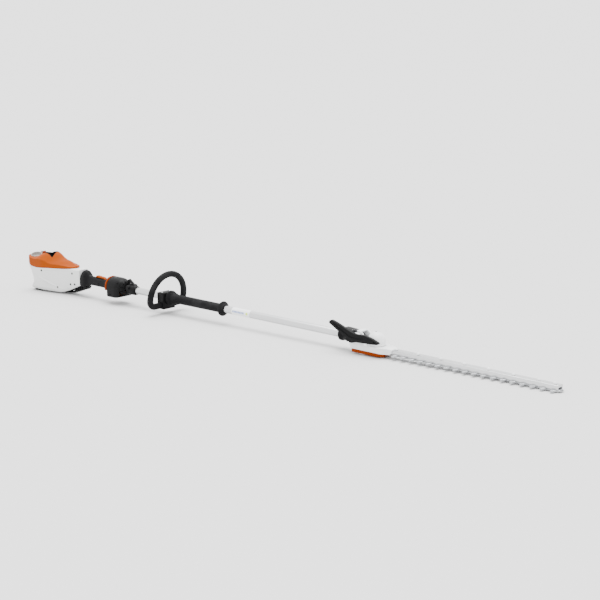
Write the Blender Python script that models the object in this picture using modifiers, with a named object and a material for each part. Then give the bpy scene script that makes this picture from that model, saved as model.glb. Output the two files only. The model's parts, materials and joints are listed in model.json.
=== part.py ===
"""A cordless pole hedge trimmer, built as its real assembly.

Every object hangs on one empty, tool_axis. In its space X is the distance from
the rear end of the machine, Y is across it and Z is the height above the centre
line of the drive tube. World +X points to the blade tip, +Z is up, and the
world's origin is on the ground under the middle of the machine.
"""

import bmesh
import bpy
import math
from mathutils import Matrix, Vector

# Driving dimensions, in metres
TOTAL_LENGTH = 2.560
AXIS_HEIGHT = 0.075
GAP = 0.0003
TUBE_RADIUS = 0.0135
HOUSING_END = 0.317
HOUSING_HALF_WIDTH = 0.060
CORNER = 0.030
NOSE_START, NOSE_LENGTH = 0.250, 0.031
HOOD_END = 0.272
GRIP_END = 0.499
MOTOR_START = 0.512
MOTOR_END = 0.600
LOOP_STATION = 0.833
HOSE_START = 0.852
HOSE_END = 1.139
PIVOT = 1.803
CRANK = 1.866
BAR_START = 1.9413
BLADE_TOP = -0.0303
BLADE_THICKNESS = 0.0025
TOOTH_PITCH = 0.0343
TOOTH_COUNT = 18
TOOTH_TIP = 0.031
SPINE = 0.014
STROKE = 0.0085
BOLT_STATIONS = [1.9480 + 0.0887 * i for i in range(7)] + [2.5335]
SHELL = 0.0025
PAST_SEAM = -0.0015

COLOURS = {
    "white_plastic": ((0.78, 0.78, 0.77), 0.45, 0.0),
    "orange_plastic": ((0.90, 0.27, 0.02), 0.4, 0.0),
    "grey_plastic": ((0.55, 0.54, 0.53), 0.5, 0.0),
    "black_plastic": ((0.025, 0.025, 0.026), 0.5, 0.0),
    "black_rubber": ((0.02, 0.02, 0.02), 0.8, 0.0),
    "tube_aluminium": ((0.80, 0.80, 0.81), 0.3, 1.0),
    "gearbox_paint": ((0.76, 0.77, 0.77), 0.4, 0.1),
    "blade_steel": ((0.62, 0.63, 0.64), 0.35, 1.0),
    "dark_steel": ((0.18, 0.18, 0.19), 0.45, 1.0),
    "copper_winding": ((0.72, 0.33, 0.14), 0.4, 1.0),
    "board_green": ((0.03, 0.20, 0.08), 0.5, 0.0),
}


def clear_scene():
    for old in list(bpy.data.objects):
        bpy.data.objects.remove(old)


def collection(name):
    made = bpy.data.collections.new(name)
    bpy.context.scene.collection.children.link(made)
    return made


def material(name):
    if name in bpy.data.materials:
        return bpy.data.materials[name]
    colour, roughness, metallic = COLOURS[name]
    made = bpy.data.materials.new(name)
    made.use_nodes = True
    shader = made.node_tree.nodes["Principled BSDF"]
    shader.inputs["Base Color"].default_value = (*colour, 1.0)
    shader.inputs["Roughness"].default_value = roughness
    shader.inputs["Metallic"].default_value = metallic
    return made


clear_scene()
PARTS = collection("pole_hedge_trimmer")
CUTTERS = collection("cutters")
tool_axis = bpy.data.objects.new("tool_axis", None)
tool_axis.location = (-TOTAL_LENGTH / 2, 0, AXIS_HEIGHT)
PARTS.objects.link(tool_axis)


def add(name, data, paint=None):
    """A part with its paint, or a hidden cutter if it has none."""
    made = bpy.data.objects.new(name, data)
    made.parent = tool_axis
    if paint:
        data.materials.append(material(paint))
        PARTS.objects.link(made)
    else:
        made.hide_render = True
        made.display_type = "WIRE"
        CUTTERS.objects.link(made)
    return made


def from_bmesh(name, shape, paint, smooth=40):
    mesh = bpy.data.meshes.new(name)
    shape.to_mesh(mesh)
    shape.free()
    mesh.shade_smooth()
    mesh.set_sharp_from_angle(angle=math.radians(smooth))
    return add(name, mesh, paint)


def modifier(part, kind, **settings):
    made = part.modifiers.new(kind.lower(), kind)
    for key, value in settings.items():
        setattr(made, key, value)
    return made


def bevel(part, width, segments=2, angle=35):
    modifier(part, "BEVEL", width=width, segments=segments, limit_method="ANGLE",
             angle_limit=math.radians(angle))
    return part


def cut(part, *cutters):
    for cutter in cutters:
        modifier(part, "BOOLEAN", object=cutter, operation="DIFFERENCE")
    return part


def join(part, *others):
    """Adds helpers to a part. The helpers are hidden, and the part keeps one body."""
    for other in others:
        modifier(part, "BOOLEAN", object=other, operation="UNION")
    return part


def box(name, low, high, paint=None, round_edges=0.0):
    """A box from its lowest to its highest corner."""
    shape = bmesh.new()
    size = Vector(high) - Vector(low)
    middle = (Vector(high) + Vector(low)) / 2
    bmesh.ops.create_cube(shape, size=1.0, matrix=Matrix.Translation(middle) @ Matrix.Diagonal((*size, 1)))
    made = from_bmesh(name, shape, paint)
    return bevel(made, round_edges) if round_edges else made


def rod(name, start, end, radius, paint=None, sides=16, end_radius=None):
    """A cylinder or cone between two points."""
    start, end = Vector(start), Vector(end)
    along = end - start
    place = Matrix.Translation((start + end) / 2) @ along.to_track_quat("Z", "Y").to_matrix().to_4x4()
    shape = bmesh.new()
    bmesh.ops.create_cone(shape, cap_ends=True, segments=sides, radius1=radius,
                          radius2=radius if end_radius is None else end_radius,
                          depth=along.length, matrix=place)
    return from_bmesh(name, shape, paint)


AXES = {"X": Matrix.Rotation(math.radians(90), 4, "Y"), "Y": Matrix.Rotation(math.radians(-90), 4, "X"),
        "Z": Matrix.Identity(4)}


def turned(name, profile, paint=None, axis="X", centre=(0, 0, 0), steps=28, open_profile=False):
    """A turned shape. The profile is a list of (distance along the axis, radius)."""
    mesh = bpy.data.meshes.new(name)
    count = len(profile)
    edges = [(i, (i + 1) % count) for i in range(count if not open_profile else count - 1)]
    mesh.from_pydata([(r, 0, d) for d, r in reversed(profile)], edges, [])
    made = add(name, mesh, paint)
    made.matrix_local = Matrix.Translation(Vector(centre)) @ AXES[axis]
    modifier(made, "SCREW", angle=math.radians(360), steps=steps, render_steps=steps,
             use_merge_vertices=True, merge_threshold=0.00005, use_smooth_shade=True)
    return made


def plate(name, outlines, depth, paint=None, plane="XZ", offset=0.0, round_edges=0.0):
    """A flat outline with any holes in it, made thick. Outlines are lists of 2D points."""
    curve = bpy.data.curves.new(name, "CURVE")
    curve.dimensions = "2D"
    curve.fill_mode = "BOTH"
    curve.extrude = depth / 2
    for points in outlines:
        line = curve.splines.new("POLY")
        line.points.add(len(points) - 1)
        line.use_cyclic_u = True
        for point, (u, v) in zip(line.points, points):
            point.co = (u, v, 0, 1)
    turn = {"XY": Matrix.Identity(4), "XZ": Matrix.Rotation(math.radians(90), 4, "X"),
            "YZ": Matrix(((0, 0, 1, 0), (1, 0, 0, 0), (0, 1, 0, 0), (0, 0, 0, 1)))}[plane]
    shift = {"XY": (0, 0, offset), "XZ": (0, offset, 0), "YZ": (offset, 0, 0)}[plane]
    return meshed(add(name, curve, paint), name, paint, Matrix.Translation(shift) @ turn, round_edges)


def meshed(curve_part, name, paint, place=None, round_edges=0.0):
    """The curve's solid as a mesh with welded caps, which modifiers can cut and round."""
    bpy.context.view_layer.update()
    graph = bpy.context.evaluated_depsgraph_get()
    mesh = bpy.data.meshes.new_from_object(curve_part.evaluated_get(graph))
    bpy.data.objects.remove(curve_part)
    shape = bmesh.new()
    shape.from_mesh(mesh)
    bmesh.ops.remove_doubles(shape, verts=shape.verts, dist=0.00001)
    bmesh.ops.dissolve_limit(shape, angle_limit=math.radians(0.5), verts=shape.verts, edges=shape.edges)
    if place is not None:
        bmesh.ops.transform(shape, matrix=place, verts=shape.verts)
    made = from_bmesh(name, shape, paint)
    return bevel(made, round_edges) if round_edges else made


def wire(name, points, radius, paint=None, resolution=3):
    """A round bar along smooth points."""
    curve = bpy.data.curves.new(name, "CURVE")
    curve.dimensions = "3D"
    curve.bevel_depth = radius
    curve.bevel_resolution = resolution
    curve.use_fill_caps = True
    line = curve.splines.new("POLY")
    line.points.add(len(points) - 1)
    for point, place in zip(line.points, points):
        point.co = (*place, 1)
    return meshed(add(name, curve, paint), name, paint)


def loft(name, sections, paint, closed_ends=False, smooth=35):
    """A skin through sections with equal numbers of points, open along their ends."""
    shape = bmesh.new()
    rings = [[shape.verts.new(p) for p in section] for section in sections]
    for first, second in zip(rings, rings[1:]):
        for i in range(len(first) - 1):
            shape.faces.new((first[i], second[i], second[i + 1], first[i + 1]))
        if closed_ends:
            shape.faces.new((first[-1], second[-1], second[0], first[0]))
    if closed_ends:
        shape.faces.new(rings[0])
        shape.faces.new(reversed(rings[-1]))
        bmesh.ops.triangulate(shape, faces=shape.faces)
    bmesh.ops.remove_doubles(shape, verts=shape.verts, dist=0.00001)
    bmesh.ops.recalc_face_normals(shape, faces=shape.faces)
    return from_bmesh(name, shape, paint, smooth)


def shell(name, sections, paint, side, thickness=SHELL):
    """A thin half casing. The skin is the outside, and side is -1 for the right half."""
    placed = [[(x, side * y, z) for x, y, z in section] for section in sections]
    made = loft(name, placed, paint)
    middle = Vector((sum(p[0] for s in placed for p in s), sum(p[1] for s in placed for p in s),
                     sum(p[2] for s in placed for p in s))) / sum(len(s) for s in placed)
    face = max(made.data.polygons, key=lambda f: f.area)
    outward = face.normal.dot(face.center - middle) > 0
    if not outward:
        made.data.flip_normals()
    modifier(made, "SOLIDIFY", thickness=thickness, offset=-1.0, use_even_offset=True)
    return made


def trim_seam(half, start, end, side):
    """Cuts a half casing flat at the seam."""
    y0, y1 = sorted((side * GAP / 2, -side * 0.02))
    return cut(half, box(half.name + "_seam_cut", (start, y0, -0.1), (end, y1, 0.1)))


def blend(x, points):
    """The value at x on straight runs through (x, value) points."""
    if x <= points[0][0]:
        return points[0][1]
    for (x0, v0), (x1, v1) in zip(points, points[1:]):
        if x <= x1:
            return v0 + (v1 - v0) * (x - x0) / (x1 - x0)
    return points[-1][1]


# The powerhead's casing: width, seam and floor along the machine


def half_width(x):
    if x < CORNER:
        return HOUSING_HALF_WIDTH - CORNER + math.sqrt(max(0.0, CORNER**2 - (CORNER - x) ** 2))
    return blend(x, [(0.095, HOUSING_HALF_WIDTH), (0.130, 0.0535), (0.165, 0.0470), (0.218, 0.0360), (0.263, 0.0275),
                     (HOUSING_END, 0.0250)])


def seam_height(x):
    return blend(x, [(0.0, 0.0500), (0.0128, 0.0471), (0.0355, 0.0345), (0.0654, 0.0319), (0.136, 0.0359),
                     (0.221, 0.0403), (0.2714, 0.0444), (HOUSING_END, 0.0460)])


def floor_height(x):
    return blend(x, [(0.0, -0.0615), (0.200, -0.0615), (HOUSING_END, -0.0235)])


def rear_lean(x, z):
    """How far the rear wall stands forward at a height. It dies out along the casing."""
    lean = blend(z, [(-0.065, 0.014), (-0.030, 0.038), (0.010, 0.020), (0.033, 0.0)])
    return lean * max(0.0, 1 - x / 0.11)


def hood_half_width(x):
    """The hood is as wide as the casing, then rounds in to a blunt nose."""
    if x <= NOSE_START:
        return half_width(x)
    return half_width(x) * math.sqrt(max(0.0, 1 - ((x - NOSE_START) / NOSE_LENGTH) ** 2))


HOUSING_STATIONS = [0.0, 0.003, 0.009, 0.018, 0.030, 0.065, 0.095, 0.130, 0.165, 0.200, 0.225, NOSE_START, 0.262,
                    0.272, 0.282, HOUSING_END]


def housing_section(x):
    """Half of the white casing at a station, from its top deck down the side to the middle."""
    width, top, low = half_width(x), seam_height(x) - 6 * GAP, floor_height(x)
    depth = top - low
    deck = width if x <= NOSE_START else max(GAP / 2, hood_half_width(x) - 0.006)
    points = [(deck, top), (width, top), (width, top - 0.25 * depth), (0.985 * width, top - 0.55 * depth),
              (0.97 * width, top - 0.73 * depth), (0.94 * width, low + 0.012), (0.86 * width, low + 0.0035),
              (0.74 * width, low), (GAP / 2, low)]
    return [(x + rear_lean(x, z), y, z) for y, z in points]


def housing_shells():
    for side, name in ((-1, "housing_shell_right"), (1, "housing_shell_left")):
        sections = [housing_section(x) for x in HOUSING_STATIONS]
        first = [(x, GAP / 2, z) for x, _, z in sections[0]]
        last = [(x, GAP / 2, z) for x, _, z in sections[-1]]
        shell(name, [first, *sections, last], "white_plastic", side)


HOOD_STATIONS = [0.0, 0.003, 0.009, 0.018, 0.030, 0.047, 0.060, 0.075, 0.085, 0.100, 0.120, 0.140, 0.150, 0.160,
                 0.175, 0.190, 0.205, 0.227, NOSE_START, 0.262, HOOD_END]
ACROSS = [1.0, 0.93, 0.80, 0.62, 0.42, 0.20]


def hood_band(x):
    """The height of the hood's side bands."""
    return blend(x, [(0.0, 0.0755), (0.020, 0.0707), (0.047, 0.0650), (0.070, 0.0660), (0.100, 0.0665),
                     (0.120, 0.0630), (0.137, 0.0530), (0.177, 0.0520), (0.220, 0.0516), (0.259, 0.0485), (0.281, 0.0470)])


def hood_crown(x):
    return blend(x, [(0.0, 0.0790), (0.020, 0.0800), (0.047, 0.0805), (0.060, 0.0830), (0.075, 0.0900), (0.100, 0.0940),
                     (0.120, 0.0962), (0.140, 0.0985), (0.150, 0.0975), (0.156, 0.0955), (0.170, 0.0890),
                     (0.190, 0.0768), (0.205, 0.0705), (0.2275, 0.0670), (0.260, 0.0545), (0.281, 0.0490)])


def hood_top(x, y):
    """The hood's surface. Its crown sweeps forward in the middle, like a blunt arrow."""
    lead = blend(x, [(0.060, 0.0), (0.100, 1.0)])
    power = blend(x, [(0.050, 1.0), (0.085, 2.2)])
    share = min(1.0, abs(y) / hood_half_width(x))
    rise = max(0.0, hood_crown(x + lead * abs(y)) - hood_band(x))
    return hood_band(x) + rise * (1 - share**power)


def hood_section(x, drop=0.0, low=None):
    """The hood at a station, over the top from one seam to the other."""
    width = hood_half_width(x) - drop
    low = seam_height(x) if low is None else low
    half = [(width, low), *((width * part, hood_top(x, width * part) - drop) for part in ACROSS)]
    middle = (0.0, hood_top(x, 0.0) - drop)
    return [(x, y, z) for y, z in [*half, middle, *((-y, z) for y, z in reversed(half))]]


def ellipse(u, v, a, b, count=24, start=0.0, sweep=360.0):
    """Points round an ellipse, or along part of one."""
    whole = abs(sweep) >= 360
    steps = count if whole else count - 1
    return [(u + a * math.cos(math.radians(start + sweep * i / steps)),
             v + b * math.sin(math.radians(start + sweep * i / steps))) for i in range(count)]


WELL = dict(low=(0.070, -0.027), high=(0.143, 0.027), floor=-0.050)
DISH_RADIUS = 0.0220
DISH_NORMAL = (0.154, 0.222, 0.963)
LOCK_PIVOT = (0.0520, 0.0, 0.0740)


def dish_rod(name, side, low, high, radius, paint=None):
    """A cylinder square to one finger dish, between two heights over the dish's rim."""
    along = Vector((DISH_NORMAL[0], side * DISH_NORMAL[1], DISH_NORMAL[2])).normalized()
    rim = Vector((0.028, side * 0.025, 0.0762))
    return rod(name, rim + along * low, rim + along * high, radius, paint, 32)


def top_hood():
    sections = [hood_section(x) for x in HOOD_STATIONS]
    low = sections[0][0][2]
    first = [(x, 0.0, low + 0.8 * (z - low)) for x, _, z in sections[0]]
    last = [(x, 0.0, z) for x, _, z in sections[-1]]
    hood = loft("top_hood", [first, *sections, last], "orange_plastic")
    face = max(hood.data.polygons, key=lambda f: f.area)
    if face.normal.z * (1 if face.center.z > 0.05 else 0) + face.normal.y * face.center.y < 0:
        hood.data.flip_normals()
    modifier(hood, "SOLIDIFY", thickness=SHELL, offset=-1.0)
    (x0, y0), (x1, y1) = WELL["low"], WELL["high"]
    wall = SHELL + 2 * GAP
    slot = box("hood_well_cut", (x0 - wall, y0 - wall, 0.0), (x1 + wall, y1 + wall, 0.2))
    x, _, z = LOCK_PIVOT
    lever_slot = box("hood_lever_cut", (x - 0.0145, -0.0085, z - 0.02), (x + 0.0055, 0.0085, z + 0.04))
    bowls = [dish_rod(f"hood_bowl_cut_{side}", side, -0.030, 0.030, DISH_RADIUS + 0.0006) for side in (-1, 1)]
    cut(hood, slot, lever_slot, *bowls)


def battery_well():
    """The open box that the battery slides down into. Its rim follows the hood's surface."""
    (x0, y0), (x1, y1), low = WELL["low"], WELL["high"], WELL["floor"]
    wall, sunk = SHELL, 0.0010
    outer = box("battery_well", (x0 - wall, y0 - wall, low - wall), (x1 + wall, y1 + wall, 0.12), "black_plastic")
    sections = [hood_section(x, sunk, -0.08) for x in HOOD_STATIONS if 0.03 < x < 0.20]
    under = loft("well_top_limit", sections, None, True)
    modifier(outer, "BOOLEAN", object=under, operation="INTERSECT")
    hollow = box("well_hollow", (x0, y0, low), (x1, y1, 0.13))
    cut(outer, hollow)
    base = box("contact_block", (0.090, -0.022, low + GAP), (0.126, 0.022, low + 0.012), "dark_steel", 0.001)
    for i in range(4):
        y = -0.0135 + 0.009 * i
        join(base, box(f"contact_blade_{i}", (0.094, y - 0.0008, low + 0.010), (0.122, y + 0.0008, low + 0.026)))


def grip_tray():
    """Two pale dishes behind the battery, where the fingers reach its rear edge."""
    rim, deep, floor = -0.0012, -0.0130, 0.0022
    tray = dish_rod("grip_tray", -1, deep - floor, rim, DISH_RADIUS, "grey_plastic")
    join(tray, dish_rod("tray_left", 1, deep - floor, rim, DISH_RADIUS))
    join(tray, box("tray_web", (0.012, -0.012, 0.0640), (0.034, 0.012, 0.0670)))
    cut(tray, *(dish_rod(f"tray_hollow_{side}", side, deep, 0.03, DISH_RADIUS - 0.0016) for side in (-1, 1)))


def battery_lock_lever():
    """The lever that holds the battery down. It tips back to let it go."""
    x, _, z = LOCK_PIVOT
    profile = [(x - 0.008, z - 0.0045), (x + 0.0035, z - 0.0045), (x + 0.0035, z + 0.006), (x + 0.001, z + 0.016),
               (x - 0.004, z + 0.0165), (x - 0.006, z + 0.006)]
    plate("battery_lock_lever", [profile], 0.014, "orange_plastic", "XZ", 0.0, 0.001)


def controller_board():
    board = box("controller_board", (0.170, -0.018, -0.024), (0.250, 0.018, -0.0222), "board_green")
    for i, (x, y, size, height) in enumerate([(0.186, -0.006, 0.016, 0.012), (0.212, 0.007, 0.012, 0.016),
                                              (0.236, -0.005, 0.014, 0.008)]):
        join(board, box(f"board_part_{i}", (x - size / 2, y - size / 2, -0.0230),
                        (x + size / 2, y + size / 2, -0.0222 + height)))


def support_foot():
    """The black skid under the front of the powerhead, with pockets in its sides."""
    def under(x, drop=0.0006):
        return floor_height(x) - drop
    side = [(0.206, under(0.206)), (HOUSING_END, under(HOUSING_END)), (0.378, -0.0245), (0.366, -0.0380),
            (0.344, -0.0432), (0.282, -0.0612), (0.206, -0.0680)]
    hole = [(0.226, -0.0630), (0.278, -0.0590), (0.284, -0.0435)]
    foot = plate("support_foot", [side, hole], 0.048, "black_plastic", "XZ", 0.0, 0.001)
    for i in range(4):
        x = 0.2955 + 0.0155 * i
        low = blend(x, [(0.2955, -0.0530), (0.344, -0.0385)])
        for sign in (-1, 1):
            cut(foot, box(f"foot_pocket_{i}_{sign}", (x, min(sign * 0.018, sign * 0.04), low),
                          (x + 0.012, max(sign * 0.018, sign * 0.04), -0.0290)))


def rear_rest_pad():
    low = -AXIS_HEIGHT
    pad = box("rear_rest_pad", (0.030, -0.042, low), (0.078, 0.042, -0.0618), "black_rubber", 0.002)
    cut(pad, box("pad_gap_cut", (0.020, -0.024, low - 0.01), (0.090, 0.024, low + 0.006)))


# The rear handle, its levers and the motor


def tombstone(x, half, top, bottom, corner, shift=0.0):
    """Half of an arched section: round over the top, square below."""
    arch = [(half * math.sin(math.radians(a)), shift + (top - shift) * math.cos(math.radians(a)))
            for a in (0, 18, 36, 54, 72, 90)]
    foot = [(half, bottom + corner), (half - 0.3 * corner, bottom + 0.3 * corner), (half - corner, bottom), (0, bottom)]
    return [(x, y if y > 0 else PAST_SEAM, z) for y, z in arch + foot]


HANDLE_STATIONS = [
    # station, half width, top, bottom, corner radius
    (HOUSING_END + 2 * GAP, 0.0235, 0.0300, -0.0222, 0.009), (0.326, 0.0242, 0.0400, -0.0228, 0.010),
    (0.338, 0.0248, 0.0440, -0.0232, 0.010), (0.347, 0.0235, 0.0430, -0.0225, 0.009),
    (0.356, 0.0205, 0.0350, -0.0190, 0.009), (0.366, 0.0175, 0.0250, -0.0150, 0.009),
    (0.380, 0.0165, 0.0215, -0.0128, 0.009), (0.4605, 0.0165, 0.0215, -0.0128, 0.009),
    (0.476, 0.0180, 0.0230, -0.0135, 0.009), (0.488, 0.0280, 0.0330, -0.0160, 0.009),
    (GRIP_END, 0.0340, 0.0385, -0.0160, 0.009)]
LOCKOUT_PIVOT = (0.462, 0.0, 0.0170)
TRIGGER_PIVOT = (0.5055, 0.0, -0.0235)


def handle_shells():
    for side, name in ((-1, "handle_shell_right"), (1, "handle_shell_left")):
        sections = [tombstone(*station) for station in HANDLE_STATIONS]
        half = trim_seam(shell(name, sections, "black_plastic", side), 0.30, 0.52, side)
        outline = [(0.4890, -0.0145), (0.4975, -0.0145), (0.4975, -0.0170), (0.5108, -0.0170), (0.5108, -0.0270),
                   (0.5060, -0.0310), (0.5000, -0.0310), (0.4890, -0.0200)]
        cheek = plate(name + "_cheek", [outline], 0.0045, None, "XZ", side * 0.0110)
        slot = box(name + "_slot", (0.3995, -0.0068, 0.0105), (0.4667, 0.0068, 0.06))
        pin_hole = rod(name + "_hole", (TRIGGER_PIVOT[0], -0.03, TRIGGER_PIVOT[2]),
                       (TRIGGER_PIVOT[0], 0.03, TRIGGER_PIVOT[2]), 0.0022, sides=12)
        cut(half, slot, box(name + "_end_cut", (GRIP_END - 0.0008, -0.05, -0.05), (GRIP_END + 0.01, 0.05, 0.05)))
        join(half, cheek)
        cut(half, pin_hole)


def handle_controls():
    x, _, z = LOCKOUT_PIVOT
    blade = [(x - 0.057, z + 0.0055), (x - 0.056, z + 0.0110), (x - 0.050, z + 0.0132), (x - 0.006, z + 0.0100),
             (x + 0.0035, z + 0.0035), (x + 0.0035, z - 0.0030), (x - 0.0035, z - 0.0030), (x - 0.006, z + 0.0045)]
    plate("throttle_lockout", [blade], 0.0125, "orange_plastic", "XZ", 0.0, 0.0012)
    x, _, z = TRIGGER_PIVOT
    hook = [(x - 0.0300, z - 0.0060), (x - 0.0290, z - 0.0015), (x - 0.0180, z - 0.0005), (x - 0.0050, z + 0.0045),
            (x + 0.0040, z + 0.0045), (x + 0.0045, z - 0.0050), (x - 0.0080, z - 0.0065), (x - 0.0220, z - 0.0085)]
    trigger = plate("trigger", [hook], 0.0160, "orange_plastic", "XZ", 0.0, 0.001)
    cut(trigger, rod("trigger_bore", (x, -0.02, z), (x, 0.02, z), 0.0023, sides=12))
    rod("trigger_pin", (x, -0.0128, z), (x, 0.0128, z), 0.0018, "dark_steel", 12)
    box("trigger_switch", (0.472, -0.007, -0.0095), (0.494, 0.007, 0.0040), "grey_plastic", 0.001)


def damping_ring():
    """The orange collar between handle and motor, open below where the trigger sits."""
    start, end = GRIP_END + GAP, MOTOR_START - GAP
    middle = (start + end) / 2
    ring = turned("damping_ring", [(start, 0.0290), (start, 0.0375), (start + 0.003, 0.0405), (end - 0.003, 0.0405),
                                   (end, 0.0385), (end, 0.0290)], "orange_plastic", steps=36)
    cut(ring, box("ring_gap_cut", (middle - 0.02, -0.05, -0.06), (middle + 0.02, 0.05, -0.0125)))


MOTOR_STATIONS = [
    (MOTOR_START, 0.012, 0.012, -0.012, 0.004), (MOTOR_START, 0.0370, 0.0365, -0.0345, 0.008),
    (0.5155, 0.0405, 0.0400, -0.0380, 0.009), (0.556, 0.0405, 0.0400, -0.0380, 0.010),
    (0.572, 0.0385, 0.0375, -0.0365, 0.012), (0.584, 0.0345, 0.0330, -0.0330, 0.014)]


def motor_shells():
    for side, name in ((-1, "motor_shell_right"), (1, "motor_shell_left")):
        half = shell(name, [tombstone(*station) for station in MOTOR_STATIONS], "black_plastic", side)
        trim_seam(half, 0.50, 0.60, side)


def intake_grille():
    """The cone in front of the motor. Cooling air comes in through its slots."""
    grille = turned("intake_grille", [(0.5845, 0.0320), (0.5870, 0.0330), (0.5950, 0.0290), (0.6000, 0.0235),
                                      (0.6000, 0.0150), (0.5970, 0.0150), (0.5970, 0.0215), (0.5930, 0.0260),
                                      (0.5845, 0.0295)], "black_plastic", steps=36)
    for i in range(12):
        angle = math.radians(15 + 30 * i)
        place = Matrix.Rotation(angle, 4, "X")
        slot = box(f"grille_slot_{i}", (0.5885, -0.0022, 0.0215), (0.5985, 0.0022, 0.04))
        slot.data.transform(place)
        cut(grille, slot)


def motor():
    turned("motor_stator", [(0.530, 0.0200), (0.530, 0.0330), (0.566, 0.0330), (0.566, 0.0200)], "copper_winding")
    turned("motor_rotor", [(0.5170, 0.0), (0.5170, 0.0040), (0.5290, 0.0040), (0.5290, 0.0192), (0.5670, 0.0192),
                           (0.5670, 0.0040), (0.5980, 0.0040), (0.5980, 0.0)], "dark_steel", open_profile=True)
    turned("motor_bearing_rear", [(0.5185, 0.0043), (0.5185, 0.0095), (0.5245, 0.0095), (0.5245, 0.0043)], "blade_steel",
           steps=20)
    turned("motor_bearing_front", [(0.5845, 0.0043), (0.5845, 0.0095), (0.5905, 0.0095), (0.5905, 0.0043)],
           "blade_steel", steps=20)
    blades = 9
    rim = []
    for i in range(blades):
        base = 360 / blades * i
        for radius, angle in ((0.0100, 0), (0.0285, 14), (0.0290, 20), (0.0115, 12), (0.0100, 26)):
            turn = math.radians(base + angle)
            rim.append((radius * math.cos(turn), radius * math.sin(turn)))
    bore = ellipse(0, 0, 0.0043, 0.0043, 16)
    plate("cooling_fan", [rim, bore], 0.0080, "black_plastic", "YZ", 0.5750)
    turned("shaft_coupling", [(0.5925, 0.0043), (0.5925, 0.0080), (0.6260, 0.0080), (0.6260, 0.0043)], "dark_steel",
           steps=20)


# The drive tube and what it carries


def drive_tube():
    wall = 0.0016
    turned("drive_tube", [(0.6005, TUBE_RADIUS - wall), (0.6005, TUBE_RADIUS), (1.7720, TUBE_RADIUS),
                          (1.7720, TUBE_RADIUS - wall)], "tube_aluminium", steps=32)
    rod("drive_shaft", (0.5985, 0, 0), (1.7862, 0, 0), 0.0035, "dark_steel", 12)
    for name, x in (("shaft_bush_rear", 0.9800), ("shaft_bush_front", 1.4600)):
        turned(name, [(x, 0.0039), (x, 0.0115), (x + 0.028, 0.0115), (x + 0.028, 0.0039)], "black_plastic", steps=20)


def carrying_eye():
    """The clamp for the harness hook, with its three-cornered eye on top."""
    bore = TUBE_RADIUS + GAP
    ring = turned("carrying_eye", [(0.6090, 0.0), (0.6090, 0.0190), (0.6120, 0.0205), (0.6480, 0.0200),
                                   (0.6560, 0.0175), (0.6600, 0.0150), (0.6600, 0.0)], "black_plastic", steps=32,
                  open_profile=True)
    outer = [(0.6020, 0.0245), (0.6085, 0.0395), (0.6110, 0.0415), (0.6140, 0.0415), (0.6170, 0.0395),
             (0.6540, 0.0150), (0.6540, 0.0120), (0.6200, 0.0160), (0.6020, 0.0200)]
    inner = [(0.6075, 0.0250), (0.6110, 0.0335), (0.6130, 0.0350), (0.6155, 0.0340), (0.6300, 0.0245), (0.6200, 0.0230)]
    eye = plate("eye_plate", [outer, inner], 0.0090)
    boss = rod("eye_boss", (0.6230, -0.0240, 0.0110), (0.6230, 0.0240, 0.0110), 0.0085, sides=20)
    join(ring, eye, boss)
    cut(ring, rod("eye_bore", (0.59, 0, 0), (0.67, 0, 0), bore, sides=32))


LOOP_RADIUS = 0.0122
LOOP_LOW = -0.0300


def loop_path():
    """The loop's centre line: an arch over the tube, round lower corners and short ends."""
    lean = math.tan(math.radians(10))
    half = ellipse(0, 0, 0.0863, 0.0928, 10, 90, -90)
    corner = ellipse(0.0600, -0.0020, 0.0263, 0.0280, 6, -12, -78)
    end = [(0.0460, LOOP_LOW), (0.0320, LOOP_LOW)]
    right = half + corner + end
    line = [(-y, z) for y, z in reversed(right)] + right[1:]
    return [(LOOP_STATION + lean * z, y, z) for y, z in line]


def loop_handle():
    wire("loop_handle", loop_path(), LOOP_RADIUS, "black_rubber")
    clamp = box("loop_clamp", (LOOP_STATION - 0.0240, -0.0310, -0.0450), (LOOP_STATION + 0.0140, 0.0310, 0.0205),
                "black_plastic", 0.004)
    low, high = -0.0310, 0.0120
    bore = rod("clamp_bore", (0.78, 0, 0), (0.88, 0, 0), TUBE_RADIUS + GAP, sides=32)
    for sign in (-1, 1):
        cut(clamp, box(f"clamp_pocket_{sign}", (LOOP_STATION - 0.018, min(sign * 0.028, sign * 0.04), low + 0.014),
                       (LOOP_STATION + 0.008, max(sign * 0.028, sign * 0.04), high)))
        cut(clamp, rod(f"clamp_socket_{sign}", (LOOP_STATION - 0.0055, sign * 0.0250, LOOP_LOW),
                       (LOOP_STATION - 0.0055, sign * 0.05, LOOP_LOW), LOOP_RADIUS + 0.0005, sides=20))
    cut(clamp, bore)


def grip_hose():
    bore = TUBE_RADIUS + GAP
    turned("grip_hose", [(HOSE_START, bore), (HOSE_START, 0.0230), (0.8545, 0.0275), (0.8590, 0.0285),
                         (0.8635, 0.0270), (0.8660, 0.0225), (0.8720, 0.0215), (0.8790, 0.0220), (0.8850, 0.0205),
                         (0.8900, 0.0178), (0.9200, 0.0175), (HOSE_END - 0.004, 0.0170),
                         (HOSE_END, 0.0165), (HOSE_END, bore)], "black_rubber")
    turned("hose_end_disc", [(HOSE_END + GAP, bore), (HOSE_END + GAP, 0.0250), (HOSE_END + 0.0020, 0.0280),
                             (HOSE_END + 0.0070, 0.0280), (HOSE_END + 0.0100, 0.0250), (HOSE_END + 0.0180, 0.0180),
                             (HOSE_END + 0.0200, bore)], "black_rubber")


# The swivelling head


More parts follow.
